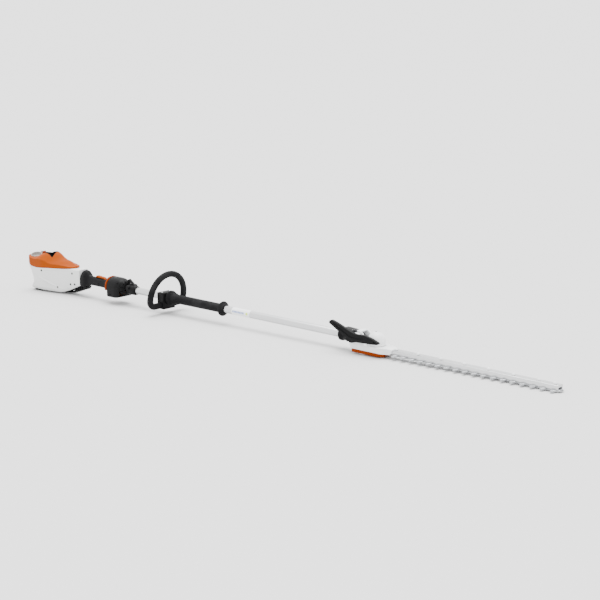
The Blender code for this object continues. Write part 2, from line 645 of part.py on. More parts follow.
def bevel_gear(name, teeth, radius, cone, face, back, bore, paint, place):
    """A straight bevel gear. The cone angle is in degrees, and its apex is the local origin."""
    angle = math.radians(cone)
    distance = radius / math.sin(angle)
    module = 2 * radius / teeth
    raised, sunk = -1.15, 0.85
    def ring(scale):
        points = []
        for i in range(teeth):
            for offset, height in ((-0.20, 1), (-0.09, 0), (0.09, 0), (0.20, 1)):
                turn = 2 * math.pi * (i + offset) / teeth
                rise = module * (raised if height else sunk)
                r = scale * (radius + rise * math.cos(angle))
                d = scale * (distance * math.cos(angle) - rise * math.sin(angle))
                points.append((r * math.cos(turn), r * math.sin(turn), -d))
        return points
    outer, inner = ring(1.0), ring(1 - face / distance)
    depth = min(p[2] for p in outer) - back
    hub = radius - 1.4 * module
    rear = [(hub * x / math.hypot(x, y), hub * y / math.hypot(x, y), depth) for x, y, _ in outer]
    level = max(p[2] for p in inner)
    tip = min(math.hypot(x, y) for x, y, _ in inner) * 0.97
    front = [(tip * x / math.hypot(x, y), tip * y / math.hypot(x, y), level) for x, y, _ in inner]
    shape = bmesh.new()
    rings = [[shape.verts.new(p) for p in points] for points in (rear, outer, inner, front)]
    for first, second in zip(rings, rings[1:]):
        for i in range(len(first)):
            j = (i + 1) % len(first)
            shape.faces.new((first[i], first[j], second[j], second[i]))
    shape.faces.new(list(reversed(rings[0])))
    shape.faces.new(rings[-1])
    bmesh.ops.recalc_face_normals(shape, faces=shape.faces)
    bmesh.ops.transform(shape, matrix=place, verts=shape.verts)
    made = from_bmesh(name, shape, paint)
    if bore:
        centre = place @ Vector((0, 0, 0))
        along = (place.to_3x3() @ Vector((0, 0, 1))).normalized() * 0.08
        cut(made, rod(name + "_bore", centre - along, centre + along, bore, sides=16))
    return made


GEAR_TEETH, GEAR_RADIUS = 16, 0.0120
CRANK_TEETH, CRANK_RADIUS = 36, 0.0270
PINION_TEETH, PINION_RADIUS = 12, 0.0090
# The head's first gear rolls round the idler as the head tilts, so it stands this far out of mesh
MESH_CLEARANCE = 0.0040


def aimed(apex, direction, turn=0.0):
    """A matrix that puts a gear's apex at a point and its back away from a direction."""
    spin = Matrix.Rotation(math.radians(turn), 4, "Z")
    return Matrix.Translation(Vector(apex)) @ Vector(direction).to_track_quat("Z", "X").to_matrix().to_4x4() @ spin


def gear_train():
    apex, half_tooth = (PIVOT, 0, 0), 360 / GEAR_TEETH / 2
    bevel_gear("drive_pinion", GEAR_TEETH, GEAR_RADIUS, 45, 0.0060, 0.0030, None, "dark_steel",
               aimed(apex, (1, 0, 0), half_tooth))
    bevel_gear("idler_gear", GEAR_TEETH, GEAR_RADIUS, 45, 0.0060, 0.0015, 0.0043, "dark_steel",
               aimed(apex, (0, -1, 0)))
    opened = (PIVOT + MESH_CLEARANCE, 0, 0)
    head_pinion = bevel_gear("head_shaft", GEAR_TEETH, GEAR_RADIUS, 45, 0.0060, 0.0020, None, "dark_steel",
                             aimed(opened, (-1, 0, 0), half_tooth))
    small_cone = math.degrees(math.atan(PINION_TEETH / CRANK_TEETH))
    crank_pinion = bevel_gear("crank_pinion_shape", PINION_TEETH, PINION_RADIUS, small_cone, 0.0076, 0.0015, None, None,
                              aimed((CRANK, 0, 0), (1, 0, 0), 180 / PINION_TEETH))
    spindle = rod("head_spindle", (PIVOT + 0.0150, 0, 0), (CRANK - 0.0260, 0, 0), 0.0048, sides=16)
    join(head_pinion, spindle, crank_pinion)
    crank = bevel_gear("crank_gear", CRANK_TEETH, CRANK_RADIUS, 90 - small_cone, 0.0080, 0.0030, None, "dark_steel",
                       aimed((CRANK, 0, 0), (0, 0, 1)))
    shaft = rod("crank_shaft", (CRANK, 0, -0.0180), (CRANK, 0, 0.0250), 0.0045)
    upper = rod("crank_pin_upper", (CRANK + STROKE, 0, -0.0245), (CRANK + STROKE, 0, -0.0130), 0.0042)
    web = rod("crank_web", (CRANK, 0, -0.0252), (CRANK, 0, -0.0238), 0.0128, sides=24)
    lower = rod("crank_pin_lower", (CRANK - STROKE, 0, -0.0300), (CRANK - STROKE, 0, -0.0245), 0.0042)
    join(crank, shaft, upper, web, lower)


def yokes():
    """The slotted links that the crank pins push, each with a peg down to its blade."""
    def yoke(name, top, end, peg, bottom):
        slot = [*ellipse(CRANK + 0.009, 0, 0.0135, 0.0135, 9, 90, -180),
                *ellipse(CRANK - 0.009, 0, 0.0135, 0.0135, 9, 270, -180)]
        outer = [*ellipse(CRANK - 0.009, 0, 0.0180, 0.0180, 9, 90, 180), (CRANK + 0.018, -0.018),
                 (CRANK + 0.030, -0.0075), (end - 0.002, -0.0075), (end, -0.0050), (end, 0.0050),
                 (end - 0.002, 0.0075), (CRANK + 0.030, 0.0075), (CRANK + 0.018, 0.018)]
        link = plate(name, [outer, slot], 0.0038, "dark_steel", "XY", top - 0.0019)
        join(link, rod(name + "_peg", (peg, 0, top - 0.002), (peg, 0, bottom), 0.0033, sides=12))
    yoke("upper_yoke", -0.0192, 1.9305, 1.9265, BLADE_TOP + GAP)
    yoke("lower_yoke", -0.0256, 1.9050, 1.8995, BLADE_TOP - BLADE_THICKNESS)


def pivot_bracket():
    """The fixed fork on the end of the tube. The head swings on its two cheeks."""
    disc = ellipse(PIVOT, 0, 0.0285, 0.0285, 29, -140, 280)
    side = disc + [(1.7600, 0.0180), (1.7600, -0.0180)]
    bracket = plate("pivot_bracket", [side], 0.0400, "gearbox_paint", "XZ", 0.0, 0.0015)
    chamber = rod("bracket_chamber", (PIVOT, -0.0160, 0), (PIVOT, 0.0160, 0), 0.0235, sides=40)
    reach = ellipse(PIVOT, 0, 0.0600, 0.0600, 13, -110, 178)
    opening = plate("bracket_opening", [[(PIVOT, 0), *reach]], 0.0320, None, "XZ")
    socket = rod("bracket_socket", (1.70, 0, 0), (1.7730, 0, 0), TUBE_RADIUS + GAP, sides=32)
    shaft_hole = rod("bracket_shaft_hole", (1.76, 0, 0), (1.80, 0, 0), 0.0060)
    pin_hole = rod("bracket_pin_hole", (PIVOT, -0.05, 0), (PIVOT, 0.05, 0), 0.0044)
    cut(bracket, chamber, opening, socket, shaft_hole, pin_hole)
    turned("pivot_pin", [(-0.0340, 0.0), (-0.0340, 0.0040), (0.0345, 0.0040), (0.0345, 0.0090), (0.0385, 0.0080),
                         (0.0385, 0.0)], "dark_steel", "Y", (PIVOT, 0, 0), 20, open_profile=True)


EAR_INNER, EAR_OUTER = 0.0240, 0.0340


def gearbox_housing():
    """The head's casting: two ears round the pivot, and the box that the crank runs in."""
    low = -0.0330
    ear = [*ellipse(PIVOT, 0, 0.0225, 0.0225, 15, 175, -125), (1.8350, -0.0080), (1.8400, -0.0135), (1.9250, -0.0140),
           (BAR_START - GAP, -0.0158), (BAR_START - GAP, low), (1.7850, low), (1.7760, -0.0180)]
    body = plate("gearbox_housing", [ear], 2 * EAR_OUTER, "gearbox_paint", "XZ", 0.0, 0.0015)
    slot = box("head_slot", (1.70, -EAR_INNER + 0.0005, -0.1), (1.8320, EAR_INNER - 0.0005, 0.1))
    chamber = rod("crank_chamber", (CRANK, 0, -0.0300), (CRANK, 0, 0.04), 0.0300, sides=40)
    tunnel = box("yoke_tunnel", (1.8300, -0.0195, -0.0300), (1.9220, 0.0195, -0.0185))
    front = box("yoke_tunnel_front", (1.9100, -0.0105, -0.0300), (1.9397, 0.0105, -0.0185))
    mouth = box("blade_mouth", (1.8850, -0.0165, -0.05), (1.95, 0.0165, -0.0295))
    lip = box("blade_lip", (1.9360, -0.0300, -0.05), (1.96, 0.0300, -0.0296))
    seat = rod("dome_seat", (CRANK, 0, -0.0133), (CRANK, 0, 0.06), 0.0318, sides=40)
    spindle = rod("spindle_hole", (1.80, 0, 0), (1.87, 0, 0), 0.0060)
    pin = rod("ear_pin_hole", (PIVOT, -0.05, 0), (PIVOT, 0.05, 0), 0.0044)
    nose = [(1.8900, 0.05), (1.96, 0.05), (1.96, 0.0170), (BAR_START - GAP, 0.0170), (1.9150, 0.0290), (1.8900, 0.0345)]
    for sign in (-1, 1):
        taper = plate(f"nose_cut_{sign}", [[(x, sign * y) for x, y in nose]], 0.1, None, "XY", 0.0)
        cut(body, taper)
    cut(body, slot, chamber, seat, tunnel, front, mouth, lip, spindle, pin)


def gearbox_dome():
    dome = turned("gearbox_dome", [(0.0285, 0.0), (0.0280, 0.0050), (0.0255, 0.0125), (0.0195, 0.0200),
                                   (0.0110, 0.0255), (0.0020, 0.0280), (-0.0080, 0.0288), (-0.0130, 0.0288),
                                   (-0.0130, 0.0315), (-0.0100, 0.0315), (-0.0085, 0.0300), (0.0020, 0.0305),
                                   (0.0120, 0.0280), (0.0210, 0.0225), (0.0275, 0.0145), (0.0305, 0.0060),
                                   (0.0315, 0.0)], "gearbox_paint", "Z", (CRANK, 0, 0), 36, open_profile=True)
    spindle = rod("dome_spindle_hole", (1.80, 0, 0), (CRANK, 0, 0), 0.0113)
    cut(dome, spindle)


def locking_parts():
    """The sliding sleeve with its finger, and the notched quadrant that it locks."""
    bore = TUBE_RADIUS + 0.0006
    sleeve = turned("locking_sleeve", [(1.7130, 0.0), (1.7130, 0.0190), (1.7170, 0.0225), (1.7270, 0.0225),
                                       (1.7300, 0.0200), (1.7440, 0.0200), (1.7470, 0.0225), (1.7520, 0.0225),
                                       (1.7545, 0.0200), (1.7545, 0.0)], "black_plastic", steps=32, open_profile=True)
    finger = box("sleeve_finger", (1.7400, -0.0231, 0.0088), (1.7660, -0.0205, 0.0110))
    collar = box("sleeve_lug", (1.7300, -0.0230, 0.0040), (1.7540, -0.0140, 0.0180))
    join(sleeve, collar, finger)
    cut(sleeve, rod("sleeve_bore", (1.70, 0, 0), (1.80, 0, 0), bore, sides=32))
    rim = []
    notches = 12
    for i in range(notches):
        start = 100 + 140 / (notches - 1) * i - 4
        for angle, radius in ((0, 0.0370), (1.6, 0.0335), (6.4, 0.0335), (8, 0.0370)):
            turn = math.radians(start + angle)
            rim.append((PIVOT + radius * math.cos(turn), radius * math.sin(turn)))
    inner = ellipse(PIVOT, 0, 0.0200, 0.0200, 20, 244, -148)
    plate("locking_quadrant", [rim + inner], 0.0028, "dark_steel", "XZ", -0.0218)


def adjusting_lever():
    """The long black lever that swings the head, on the right of the gearbox."""
    outline = [(1.6960, 0.0430), (1.6990, 0.0510), (1.7060, 0.0550), (1.7480, 0.0420), (1.7900, 0.0270),
               (1.8120, 0.0200), (1.8300, 0.0220), (1.8480, 0.0235), (1.8700, 0.0195), (1.8950, 0.0115),
               (1.9070, 0.0065), (1.9085, 0.0025), (1.9020, -0.0005), (1.8700, -0.0030), (1.8100, -0.0060),
               (1.7960, -0.0110), (1.7850, -0.0110), (1.7800, -0.0030), (1.7340, 0.0225)]
    eyelet = ellipse(1.8915, 0.0060, 0.0042, 0.0030, 14)
    plate("adjusting_lever", [outline, eyelet], 0.0120, "black_plastic", "XZ", -EAR_OUTER - GAP - 0.0060, 0.003)


# The cutting bar


def blade_outline(rear, front, first):
    """One side's teeth, then the other's, round a blade with a blunt nose."""
    near = []
    for i in range(TOOTH_COUNT):
        x = first + TOOTH_PITCH * i
        near += [(x - 0.0085, SPINE), (x - 0.0042, TOOTH_TIP), (x + 0.0034, TOOTH_TIP), (x + 0.0085, SPINE)]
    near = [(x, y) for x, y in near if x < front - 0.006]
    nose = [(front - 0.006, 0.0125), (front, 0.0070)]
    half = [(rear, 0.0100), (rear + 0.004, SPINE)] + near + nose
    return half + [(x, -y) for x, y in reversed(half)]


def slots():
    reach, radius = STROKE + 0.0005, 0.0036
    return [[*ellipse(x + reach, 0, radius, radius, 5, 90, -180), *ellipse(x - reach, 0, radius, radius, 5, 270, -180)]
            for x in BOLT_STATIONS]


FIRST_TOOTH = 1.9555


def blades():
    depth = BLADE_THICKNESS
    for name, rear, tip, top in (("upper_blade", 1.9225, 2.5580, BLADE_TOP),
                                 ("lower_blade", 1.8935, TOTAL_LENGTH, BLADE_TOP - depth - GAP)):
        plate(name, [blade_outline(rear, tip, FIRST_TOOTH), *slots()], depth, "blade_steel", "XY", top - depth / 2)


def guide_bar():
    """The aluminium extrusion that stiffens the blades, open underneath."""
    top, low, wall, end = -0.0170, BLADE_TOP + GAP, 0.0030, 2.5515
    section = [(0.0150, low), (0.0150, top - 0.003), (0.0125, top), (-0.0125, top), (-0.0150, top - 0.003),
               (-0.0150, low), (-0.0105, low), (-0.0105, low + 0.006), (0.0105, low + 0.006), (0.0105, low)]
    middle = (BAR_START + end) / 2
    bar = plate("guide_bar", [section], end - BAR_START, "tube_aluminium", "YZ", middle)
    for i, x in enumerate(BOLT_STATIONS):
        cut(bar, rod(f"bar_hole_{i}", (x, 0, -0.05), (x, 0, 0), 0.0032, sides=10))


def blade_bolts():
    under = BLADE_TOP - 2 * BLADE_THICKNESS - 2 * GAP
    for i, x in enumerate(BOLT_STATIONS):
        turned(f"blade_bolt_{i + 1}", [(under - 0.0030, 0.0), (under - 0.0030, 0.0050), (under, 0.0060), (under, 0.0028),
                                       (-0.0167, 0.0028), (-0.0167, 0.0062), (-0.0140, 0.0055), (-0.0105, 0.0028),
                                       (-0.0105, 0.0)], "dark_steel", "Z", (x, 0, 0), 10, open_profile=True)


def wear_plate():
    """The orange skid under the gearbox, with room above it for the blades' ends."""
    outline = [(1.7870, 0.0340), (1.8920, 0.0335), (1.9130, 0.0215), (1.9130, -0.0215), (1.8920, -0.0335),
               (1.7870, -0.0340), (1.7870, -EAR_INNER), (1.8320, -EAR_INNER), (1.8320, EAR_INNER), (1.7870, EAR_INNER)]
    skid = plate("wear_plate", [outline], 0.0110, "orange_plastic", "XY", -0.0388, 0.0012)
    pocket = box("skid_pocket", (1.8840, -0.0165, -0.0385), (1.95, 0.0165, -0.02))
    cut(skid, pocket)


def build():
    housing_shells()
    top_hood()
    battery_well()
    grip_tray()
    battery_lock_lever()
    controller_board()
    support_foot()
    rear_rest_pad()
    handle_shells()
    handle_controls()
    damping_ring()
    motor_shells()
    intake_grille()
    motor()
    drive_tube()
    carrying_eye()
    loop_handle()
    grip_hose()
    gear_train()
    yokes()
    pivot_bracket()
    gearbox_housing()
    gearbox_dome()
    locking_parts()
    adjusting_lever()
    guide_bar()
    blades()
    blade_bolts()
    wear_plate()


build()
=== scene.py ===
# %% [markdown]
# # A cordless pole hedge trimmer
# The working model comes from the CAD frame: its casings, tube, gearbox and blades are in their right places, and
# its bodies move. This script gives each visible part the shape and finish that the real one has. A moulded casing
# gets soft corners and a parting line, a turned part gets a true round, and each material gets its own grain.

# %% Load the frame
import json
import math

import bpy
from mathutils import Matrix, Vector

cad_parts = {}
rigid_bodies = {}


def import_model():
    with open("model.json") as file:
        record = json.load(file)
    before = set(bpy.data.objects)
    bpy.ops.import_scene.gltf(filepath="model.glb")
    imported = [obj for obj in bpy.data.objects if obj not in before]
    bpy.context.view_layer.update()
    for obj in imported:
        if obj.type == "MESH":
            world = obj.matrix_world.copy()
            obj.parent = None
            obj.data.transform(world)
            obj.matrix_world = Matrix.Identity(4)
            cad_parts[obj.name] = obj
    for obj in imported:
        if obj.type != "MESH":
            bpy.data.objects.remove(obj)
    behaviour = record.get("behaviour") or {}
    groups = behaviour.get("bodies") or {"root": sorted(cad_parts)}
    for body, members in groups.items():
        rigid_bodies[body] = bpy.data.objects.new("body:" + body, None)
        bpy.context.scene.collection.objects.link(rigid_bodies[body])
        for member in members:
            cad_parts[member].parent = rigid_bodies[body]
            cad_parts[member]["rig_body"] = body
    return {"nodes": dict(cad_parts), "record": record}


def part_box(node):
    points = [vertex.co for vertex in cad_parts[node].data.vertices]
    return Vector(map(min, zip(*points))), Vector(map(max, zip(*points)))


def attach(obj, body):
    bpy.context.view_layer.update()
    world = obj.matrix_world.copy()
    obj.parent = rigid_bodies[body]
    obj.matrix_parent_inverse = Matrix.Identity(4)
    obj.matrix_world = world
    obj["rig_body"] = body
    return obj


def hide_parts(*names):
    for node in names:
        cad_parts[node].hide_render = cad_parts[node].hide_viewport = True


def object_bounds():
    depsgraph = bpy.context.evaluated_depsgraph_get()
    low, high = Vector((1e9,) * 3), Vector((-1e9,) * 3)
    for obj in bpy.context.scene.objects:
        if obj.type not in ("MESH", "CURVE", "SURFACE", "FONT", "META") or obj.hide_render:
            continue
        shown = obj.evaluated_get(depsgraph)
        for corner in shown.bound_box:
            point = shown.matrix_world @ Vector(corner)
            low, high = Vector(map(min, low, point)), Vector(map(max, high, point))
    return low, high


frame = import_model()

CAD_LOW, CAD_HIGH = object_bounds()
NODES = frame["nodes"]
print("CAD box", tuple(CAD_LOW), tuple(CAD_HIGH))

# %% [markdown]
# All new pieces are modelled in the machine's own space: X is the distance from its rear end, Y is across it, and Z
# is the height above the drive tube's axis. When a piece is finished, it moves to its place in the frame.

# %% The machine's own space
tube_low, tube_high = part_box("drive_tube")
TUBE_RADIUS = (tube_high.z - tube_low.z) / 2
TO_FRAME = Vector((CAD_LOW.x, 0.0, (tube_low.z + tube_high.z) / 2))


def own_box(node):
    """The lowest and highest corner of a CAD node, in the machine's own space."""
    low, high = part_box(node)
    return low - TO_FRAME, high - TO_FRAME


print("tube radius", round(TUBE_RADIUS, 5), "axis height", round(TO_FRAME.z, 4))

# %% [markdown]
# ## Camera, light and floor
# The camera stands in front of the machine's right side, a little above it, about four metres away, so the blade
# comes towards it. A studio set for a tool uses big soft lights, so the shadows have no hard edge. The floor
# is a plain sheet that is much larger than the tool.

# %% Camera
camera_data = bpy.data.cameras.new("camera")
camera = bpy.data.objects.new("camera", camera_data)
bpy.context.scene.collection.objects.link(camera)
bpy.context.scene.camera = camera
camera_data.sensor_width = 36.0
camera_data.lens = 69.94
camera_data.clip_end = 60.0
AIM = TO_FRAME + Vector((1.52584, 0.0, 0.08895))
CAMERA_DISTANCE = 4.07559
AZIMUTH, ELEVATION = math.radians(41.572), math.radians(12.451)
back = Vector((math.sin(AZIMUTH) * math.cos(ELEVATION), -math.cos(AZIMUTH) * math.cos(ELEVATION),
               math.sin(ELEVATION)))
camera.location = AIM + back * CAMERA_DISTANCE
camera.rotation_euler = (-back).to_track_quat("-Z", "Y").to_euler()

# %% Light
world = bpy.data.worlds.new("studio")
bpy.context.scene.world = world
world.use_nodes = True
world.node_tree.nodes["Background"].inputs["Color"].default_value = (1.0, 1.0, 1.0, 1.0)
world.node_tree.nodes["Background"].inputs["Strength"].default_value = 2.6


def softbox(name, place, aim, size, power):
    data = bpy.data.lights.new(name, "AREA")
    data.shape = "RECTANGLE"
    data.size, data.size_y = size
    data.energy = power
    lamp = bpy.data.objects.new(name, data)
    bpy.context.scene.collection.objects.link(lamp)
    lamp.location = place
    lamp.rotation_euler = (Vector(place) - Vector(aim)).to_track_quat("Z", "Y").to_euler()


softbox("front_softbox", (2.8, -3.6, 2.2), (0.2, 0.0, 0.1), (2.5, 1.6), 12)
bpy.ops.object.light_add(type="SUN", location=(0.0, 0.0, 4.0))
overhead = bpy.context.object
overhead.name = "overhead_light"
overhead.data.energy = 6.3
overhead.data.angle = math.radians(48)
overhead.rotation_euler = (math.radians(-7), math.radians(-5), 0.0)

# %% [markdown]
# ## Shader maths
# A procedural finish is mostly arithmetic on patterns. A small class wraps a node's output, so that a finish can
# write `0.4 + 0.1 * grain`, and each operator adds the Math node that it needs.

# %% Patterns as numbers


class Pattern:
    def __init__(self, finish, socket):
        self.finish, self.socket = finish, socket

    def _math(self, operation, first, second):
        return self.finish.node("ShaderNodeMath", {"operation": operation}, {0: first, 1: second})

    def __add__(self, other):
        return self._math("ADD", self, other)

    def __radd__(self, other):
        return self._math("ADD", other, self)

    def __sub__(self, other):
        return self._math("SUBTRACT", self, other)

    def __rsub__(self, other):
        return self._math("SUBTRACT", other, self)

    def __mul__(self, other):
        return self._math("MULTIPLY", self, other)

    def __rmul__(self, other):
        return self._math("MULTIPLY", other, self)

    def above(self, level, softness):
        """0 below a level and 1 above it, with a soft step between."""
        return self.finish.node("ShaderNodeMapRange", {"interpolation_type": "SMOOTHSTEP"},
                                {0: self, 1: level - softness, 2: level + softness})


class Finish:
    """One material. Its patterns lie in the machine's space, so they don't depend on a piece's size."""

    def __init__(self, name, colour, roughness, metallic=0.0):
        self.material = bpy.data.materials.new(name)
        self.material.use_nodes = True
        self.tree = self.material.node_tree
        self.shader = self.tree.nodes["Principled BSDF"]
        self.constant("Base Color", (*colour, 1.0))
        self.constant("Roughness", roughness)
        self.constant("Metallic", metallic)
        self.material.diffuse_color = (*colour, 1.0)
        coordinates = self.tree.nodes.new("ShaderNodeTexCoord")
        self.place = Pattern(self, coordinates.outputs["Object"])

    def constant(self, socket, value):
        self.shader.inputs[socket].default_value = value

    def node(self, kind, settings, values, output=0):
        """Adds a node: its settings first, then a value or a link for each socket."""
        made = self.tree.nodes.new(kind)
        for key, value in settings.items():
            setattr(made, key, value)
        for key, value in values.items():
            if isinstance(value, Pattern):
                self.tree.links.new(value.socket, made.inputs[key])
            else:
                made.inputs[key].default_value = value
        return Pattern(self, made.outputs[output])

    def stretched(self, scale, turn=(0.0, 0.0, 0.0)):
        return self.node("ShaderNodeMapping", {}, {"Vector": self.place, "Scale": scale, "Rotation": turn})

    def noise(self, scale, detail=3.0, place=None):
        return self.node("ShaderNodeTexNoise", {}, {"Vector": place or self.place, "Scale": scale, "Detail": detail})

    def pits(self, scale):
        return self.node("ShaderNodeTexVoronoi", {"feature": "F1"}, {"Vector": self.place, "Scale": scale})

    def mixed(self, first, second, factor):
        """A colour between two others."""
        values = {0: factor}
        for key, value in ((6, first), (7, second)):
            values[key] = value if isinstance(value, Pattern) else (*value, 1.0)
        return self.node("ShaderNodeMix", {"data_type": "RGBA"}, values, output=2)

    def vary(self, socket, pattern):
        self.tree.links.new(pattern.socket, self.shader.inputs[socket])

    def relief(self, height, depth, strength=1.0):
        """Bumps, with their depth in metres."""
        bump = self.node("ShaderNodeBump", {}, {"Height": height, "Distance": depth, "Strength": strength})
        self.vary("Normal", bump)


# %% [markdown]
# ## Moulded plastic
# A moulded casing copies its mould. The mould's walls are spark-eroded, which leaves a fine grain that scatters
# light, and the plastic takes a slightly uneven sheen where it is handled. So the finish has a fine grain in its
# bump, a slow change in its roughness, and a faint mottle in its colour. The same recipe serves each colour.

# %% A recipe for moulded plastic


def moulded_plastic(name, colour, roughness, mottle=0.93, grain_depth=0.00006, shine=0.5):
    finish = Finish(name, colour, roughness)
    finish.constant("IOR", 1.5)
    finish.constant("Specular IOR Level", shine)
    grain = finish.noise(1500.0, 2.0)
    handled = finish.noise(16.0, 4.0)
    specks = finish.noise(420.0, 3.0)
    darker = tuple(mottle * channel for channel in colour)
    finish.vary("Base Color", finish.mixed(darker, colour, (0.5 * handled + 0.5 * specks).above(0.5, 0.22)))
    finish.vary("Roughness", roughness - 0.07 + 0.14 * handled + 0.05 * grain)
    finish.relief(grain, grain_depth)
    return finish.material


light_grey_plastic = moulded_plastic("light_grey_plastic", (0.64, 0.645, 0.64), 0.42, 0.96, 0.00003, 0.3)
orange_plastic = moulded_plastic("orange_plastic", (0.26, 0.045, 0.0002), 0.45, 0.95, 0.00003, 0.05)
# The next finish is the same orange plastic made darker: painted shade for the lock lever in the bay, the collar, the
# trigger and the skid under the head.
painted_shade_orange_plastic = moulded_plastic("painted_shade_orange_plastic", (0.18, 0.024, 0.0002), 0.45, 0.93, 0.00005, 0.05)
mid_grey_plastic = moulded_plastic("mid_grey_plastic", (0.30, 0.275, 0.25), 0.5, 0.95, 0.00005, 0.3)
black_plastic = moulded_plastic("black_plastic", (0.0050, 0.0050, 0.0053), 0.42, 0.75, 0.00006, 0.07)

# %% [markdown]
# ## Rubber
# The loop and the hose grip are soft black rubber. It is duller than the plastic, and its skin has a coarser grain
# so that a wet glove doesn't slip. Dust settles in the grain and makes its low places a little paler.

# %% Rubber


def grip_rubber():
    finish = Finish("grip_rubber", (0.006, 0.006, 0.0065), 0.62)
    finish.constant("Specular IOR Level", 0.07)
    skin = finish.pits(900.0)
    worn = finish.noise(22.0, 5.0)
    finish.vary("Base Color", finish.mixed((0.005, 0.005, 0.0055), (0.012, 0.012, 0.0125), worn.above(0.58, 0.15)))
    finish.vary("Roughness", 0.52 + 0.20 * worn)
    finish.relief(skin, 0.00012, 0.7)
    return finish.material


black_rubber = grip_rubber()

# %% [markdown]
# ## Metals
# The drive tube is drawn, so its fine lines run along it. The guide bar is extruded and looks the same. The blades
# are ground across their length, which leaves short lines the other way, and the gearbox is a painted casting with
# the slight orange-peel skin of powder paint.

# %% Drawn aluminium, ground steel, dark steel and painted casting


def drawn_aluminium():
    finish = Finish("drawn_aluminium", (0.60, 0.605, 0.61), 0.3, 1.0)
    lines = finish.noise(1.0, 3.0, finish.stretched((6.0, 900.0, 900.0)))
    clouds = finish.noise(9.0, 4.0)
    finish.vary("Base Color", finish.mixed((0.50, 0.505, 0.51), (0.68, 0.685, 0.69), 0.6 * lines + 0.4 * clouds))
    finish.vary("Roughness", 0.22 + 0.14 * lines + 0.06 * clouds)
    finish.relief(lines, 0.00002)
    return finish.material


def ground_steel():
    finish = Finish("ground_steel", (0.50, 0.51, 0.52), 0.34, 1.0)
    scratches = finish.noise(1.0, 4.0, finish.stretched((1100.0, 30.0, 300.0), (0.0, 0.0, 0.35)))
    tint = finish.noise(18.0, 4.0)
    finish.vary("Base Color", finish.mixed((0.36, 0.37, 0.385), (0.60, 0.61, 0.62), 0.5 * scratches + 0.5 * tint))
    finish.vary("Roughness", 0.24 + 0.20 * scratches + 0.08 * tint)
    finish.relief(scratches, 0.00003)
    return finish.material


def dark_steel_finish():
    finish = Finish("dark_steel", (0.16, 0.16, 0.165), 0.42, 1.0)
    oil = finish.noise(60.0, 4.0)
    finish.vary("Base Color", finish.mixed((0.10, 0.10, 0.105), (0.24, 0.24, 0.245), oil))
    finish.vary("Roughness", 0.30 + 0.25 * oil)
    finish.relief(finish.noise(700.0, 2.0), 0.00003)
    return finish.material


def painted_casting():
    finish = Finish("painted_casting", (0.72, 0.73, 0.735), 0.38)
    finish.constant("Coat Roughness", 0.25)
    peel = finish.noise(330.0, 2.0)
    dust = finish.noise(20.0, 5.0)
    finish.vary("Base Color", finish.mixed((0.64, 0.65, 0.655), (0.76, 0.768, 0.772), dust.above(0.45, 0.2)))
    finish.vary("Roughness", 0.30 + 0.16 * dust)
    finish.relief(peel, 0.00010, 0.8)
    return finish.material


tube_aluminium = drawn_aluminium()
blade_steel = ground_steel()
dark_steel = dark_steel_finish()
gearbox_paint = painted_casting()

# %% [markdown]
# ## Inside the machine
# Copper windings and the green board sit inside closed casings. They show only through a vent or when a part is
# taken off, so their finishes are short: wire lines for the copper and traces for the board.

# %% Copper wire and circuit board


def copper_wire():
    finish = Finish("copper_wire", (0.72, 0.30, 0.12), 0.38, 1.0)
    turns = finish.node("ShaderNodeTexWave", {"bands_direction": "X"},
                        {"Vector": finish.place, "Scale": 260.0, "Distortion": 0.6})
    finish.vary("Base Color", finish.mixed((0.40, 0.13, 0.05), (0.80, 0.36, 0.16), turns))
    finish.relief(turns, 0.0003)
    return finish.material


def circuit_board():
    finish = Finish("circuit_board", (0.02, 0.16, 0.06), 0.35)
    traces = finish.node("ShaderNodeTexBrick", {}, {"Vector": finish.stretched((90.0, 90.0, 90.0)), "Scale": 1.0},
                         output=1)
    finish.vary("Base Color", finish.mixed((0.02, 0.14, 0.05), (0.05, 0.26, 0.11), traces))
    finish.relief(traces, 0.00005)
    return finish.material


copper = copper_wire()
board = circuit_board()

# %% [markdown]
# ## Carrying CAD parts over
# Some CAD parts already have the right shape and only have edges that are too sharp. A real edge always has a
# small round that catches the light. So the part is copied, its loose triangles are merged, flat areas are joined
# up again, and a narrow bevel goes round its edges.

# %% Finish a CAD part
FINISH_OF_SLOT = {
    "white_plastic": light_grey_plastic, "orange_plastic": orange_plastic, "grey_plastic": mid_grey_plastic,
    "black_plastic": black_plastic, "black_rubber": black_rubber, "tube_aluminium": tube_aluminium,
    "gearbox_paint": gearbox_paint, "blade_steel": blade_steel, "dark_steel": dark_steel,
    "copper_winding": copper, "board_green": board}
SLOT_OF_NODE = {entry["node"]: entry["material_slot"] for entry in frame["record"]["subparts"]}
for node_name, node_object in NODES.items():
    node_object.data.materials.clear()
    node_object.data.materials.append(FINISH_OF_SLOT[SLOT_OF_NODE[node_name]])


def only(piece):
    """Makes one piece the selected and active one."""
    bpy.ops.object.select_all(action="DESELECT")
    piece.select_set(True)
    bpy.context.view_layer.objects.active = piece


def modified(piece, kind, **settings):
    """Adds a modifier and applies it."""
    only(piece)
    made = piece.modifiers.new(kind.lower(), kind)
    for key, value in settings.items():
        setattr(made, key, value)
    bpy.ops.object.modifier_apply(modifier=made.name)
    return piece


def shaded(piece, angle=35):
    only(piece)
    bpy.ops.object.shade_smooth_by_angle(angle=math.radians(angle))
    return piece


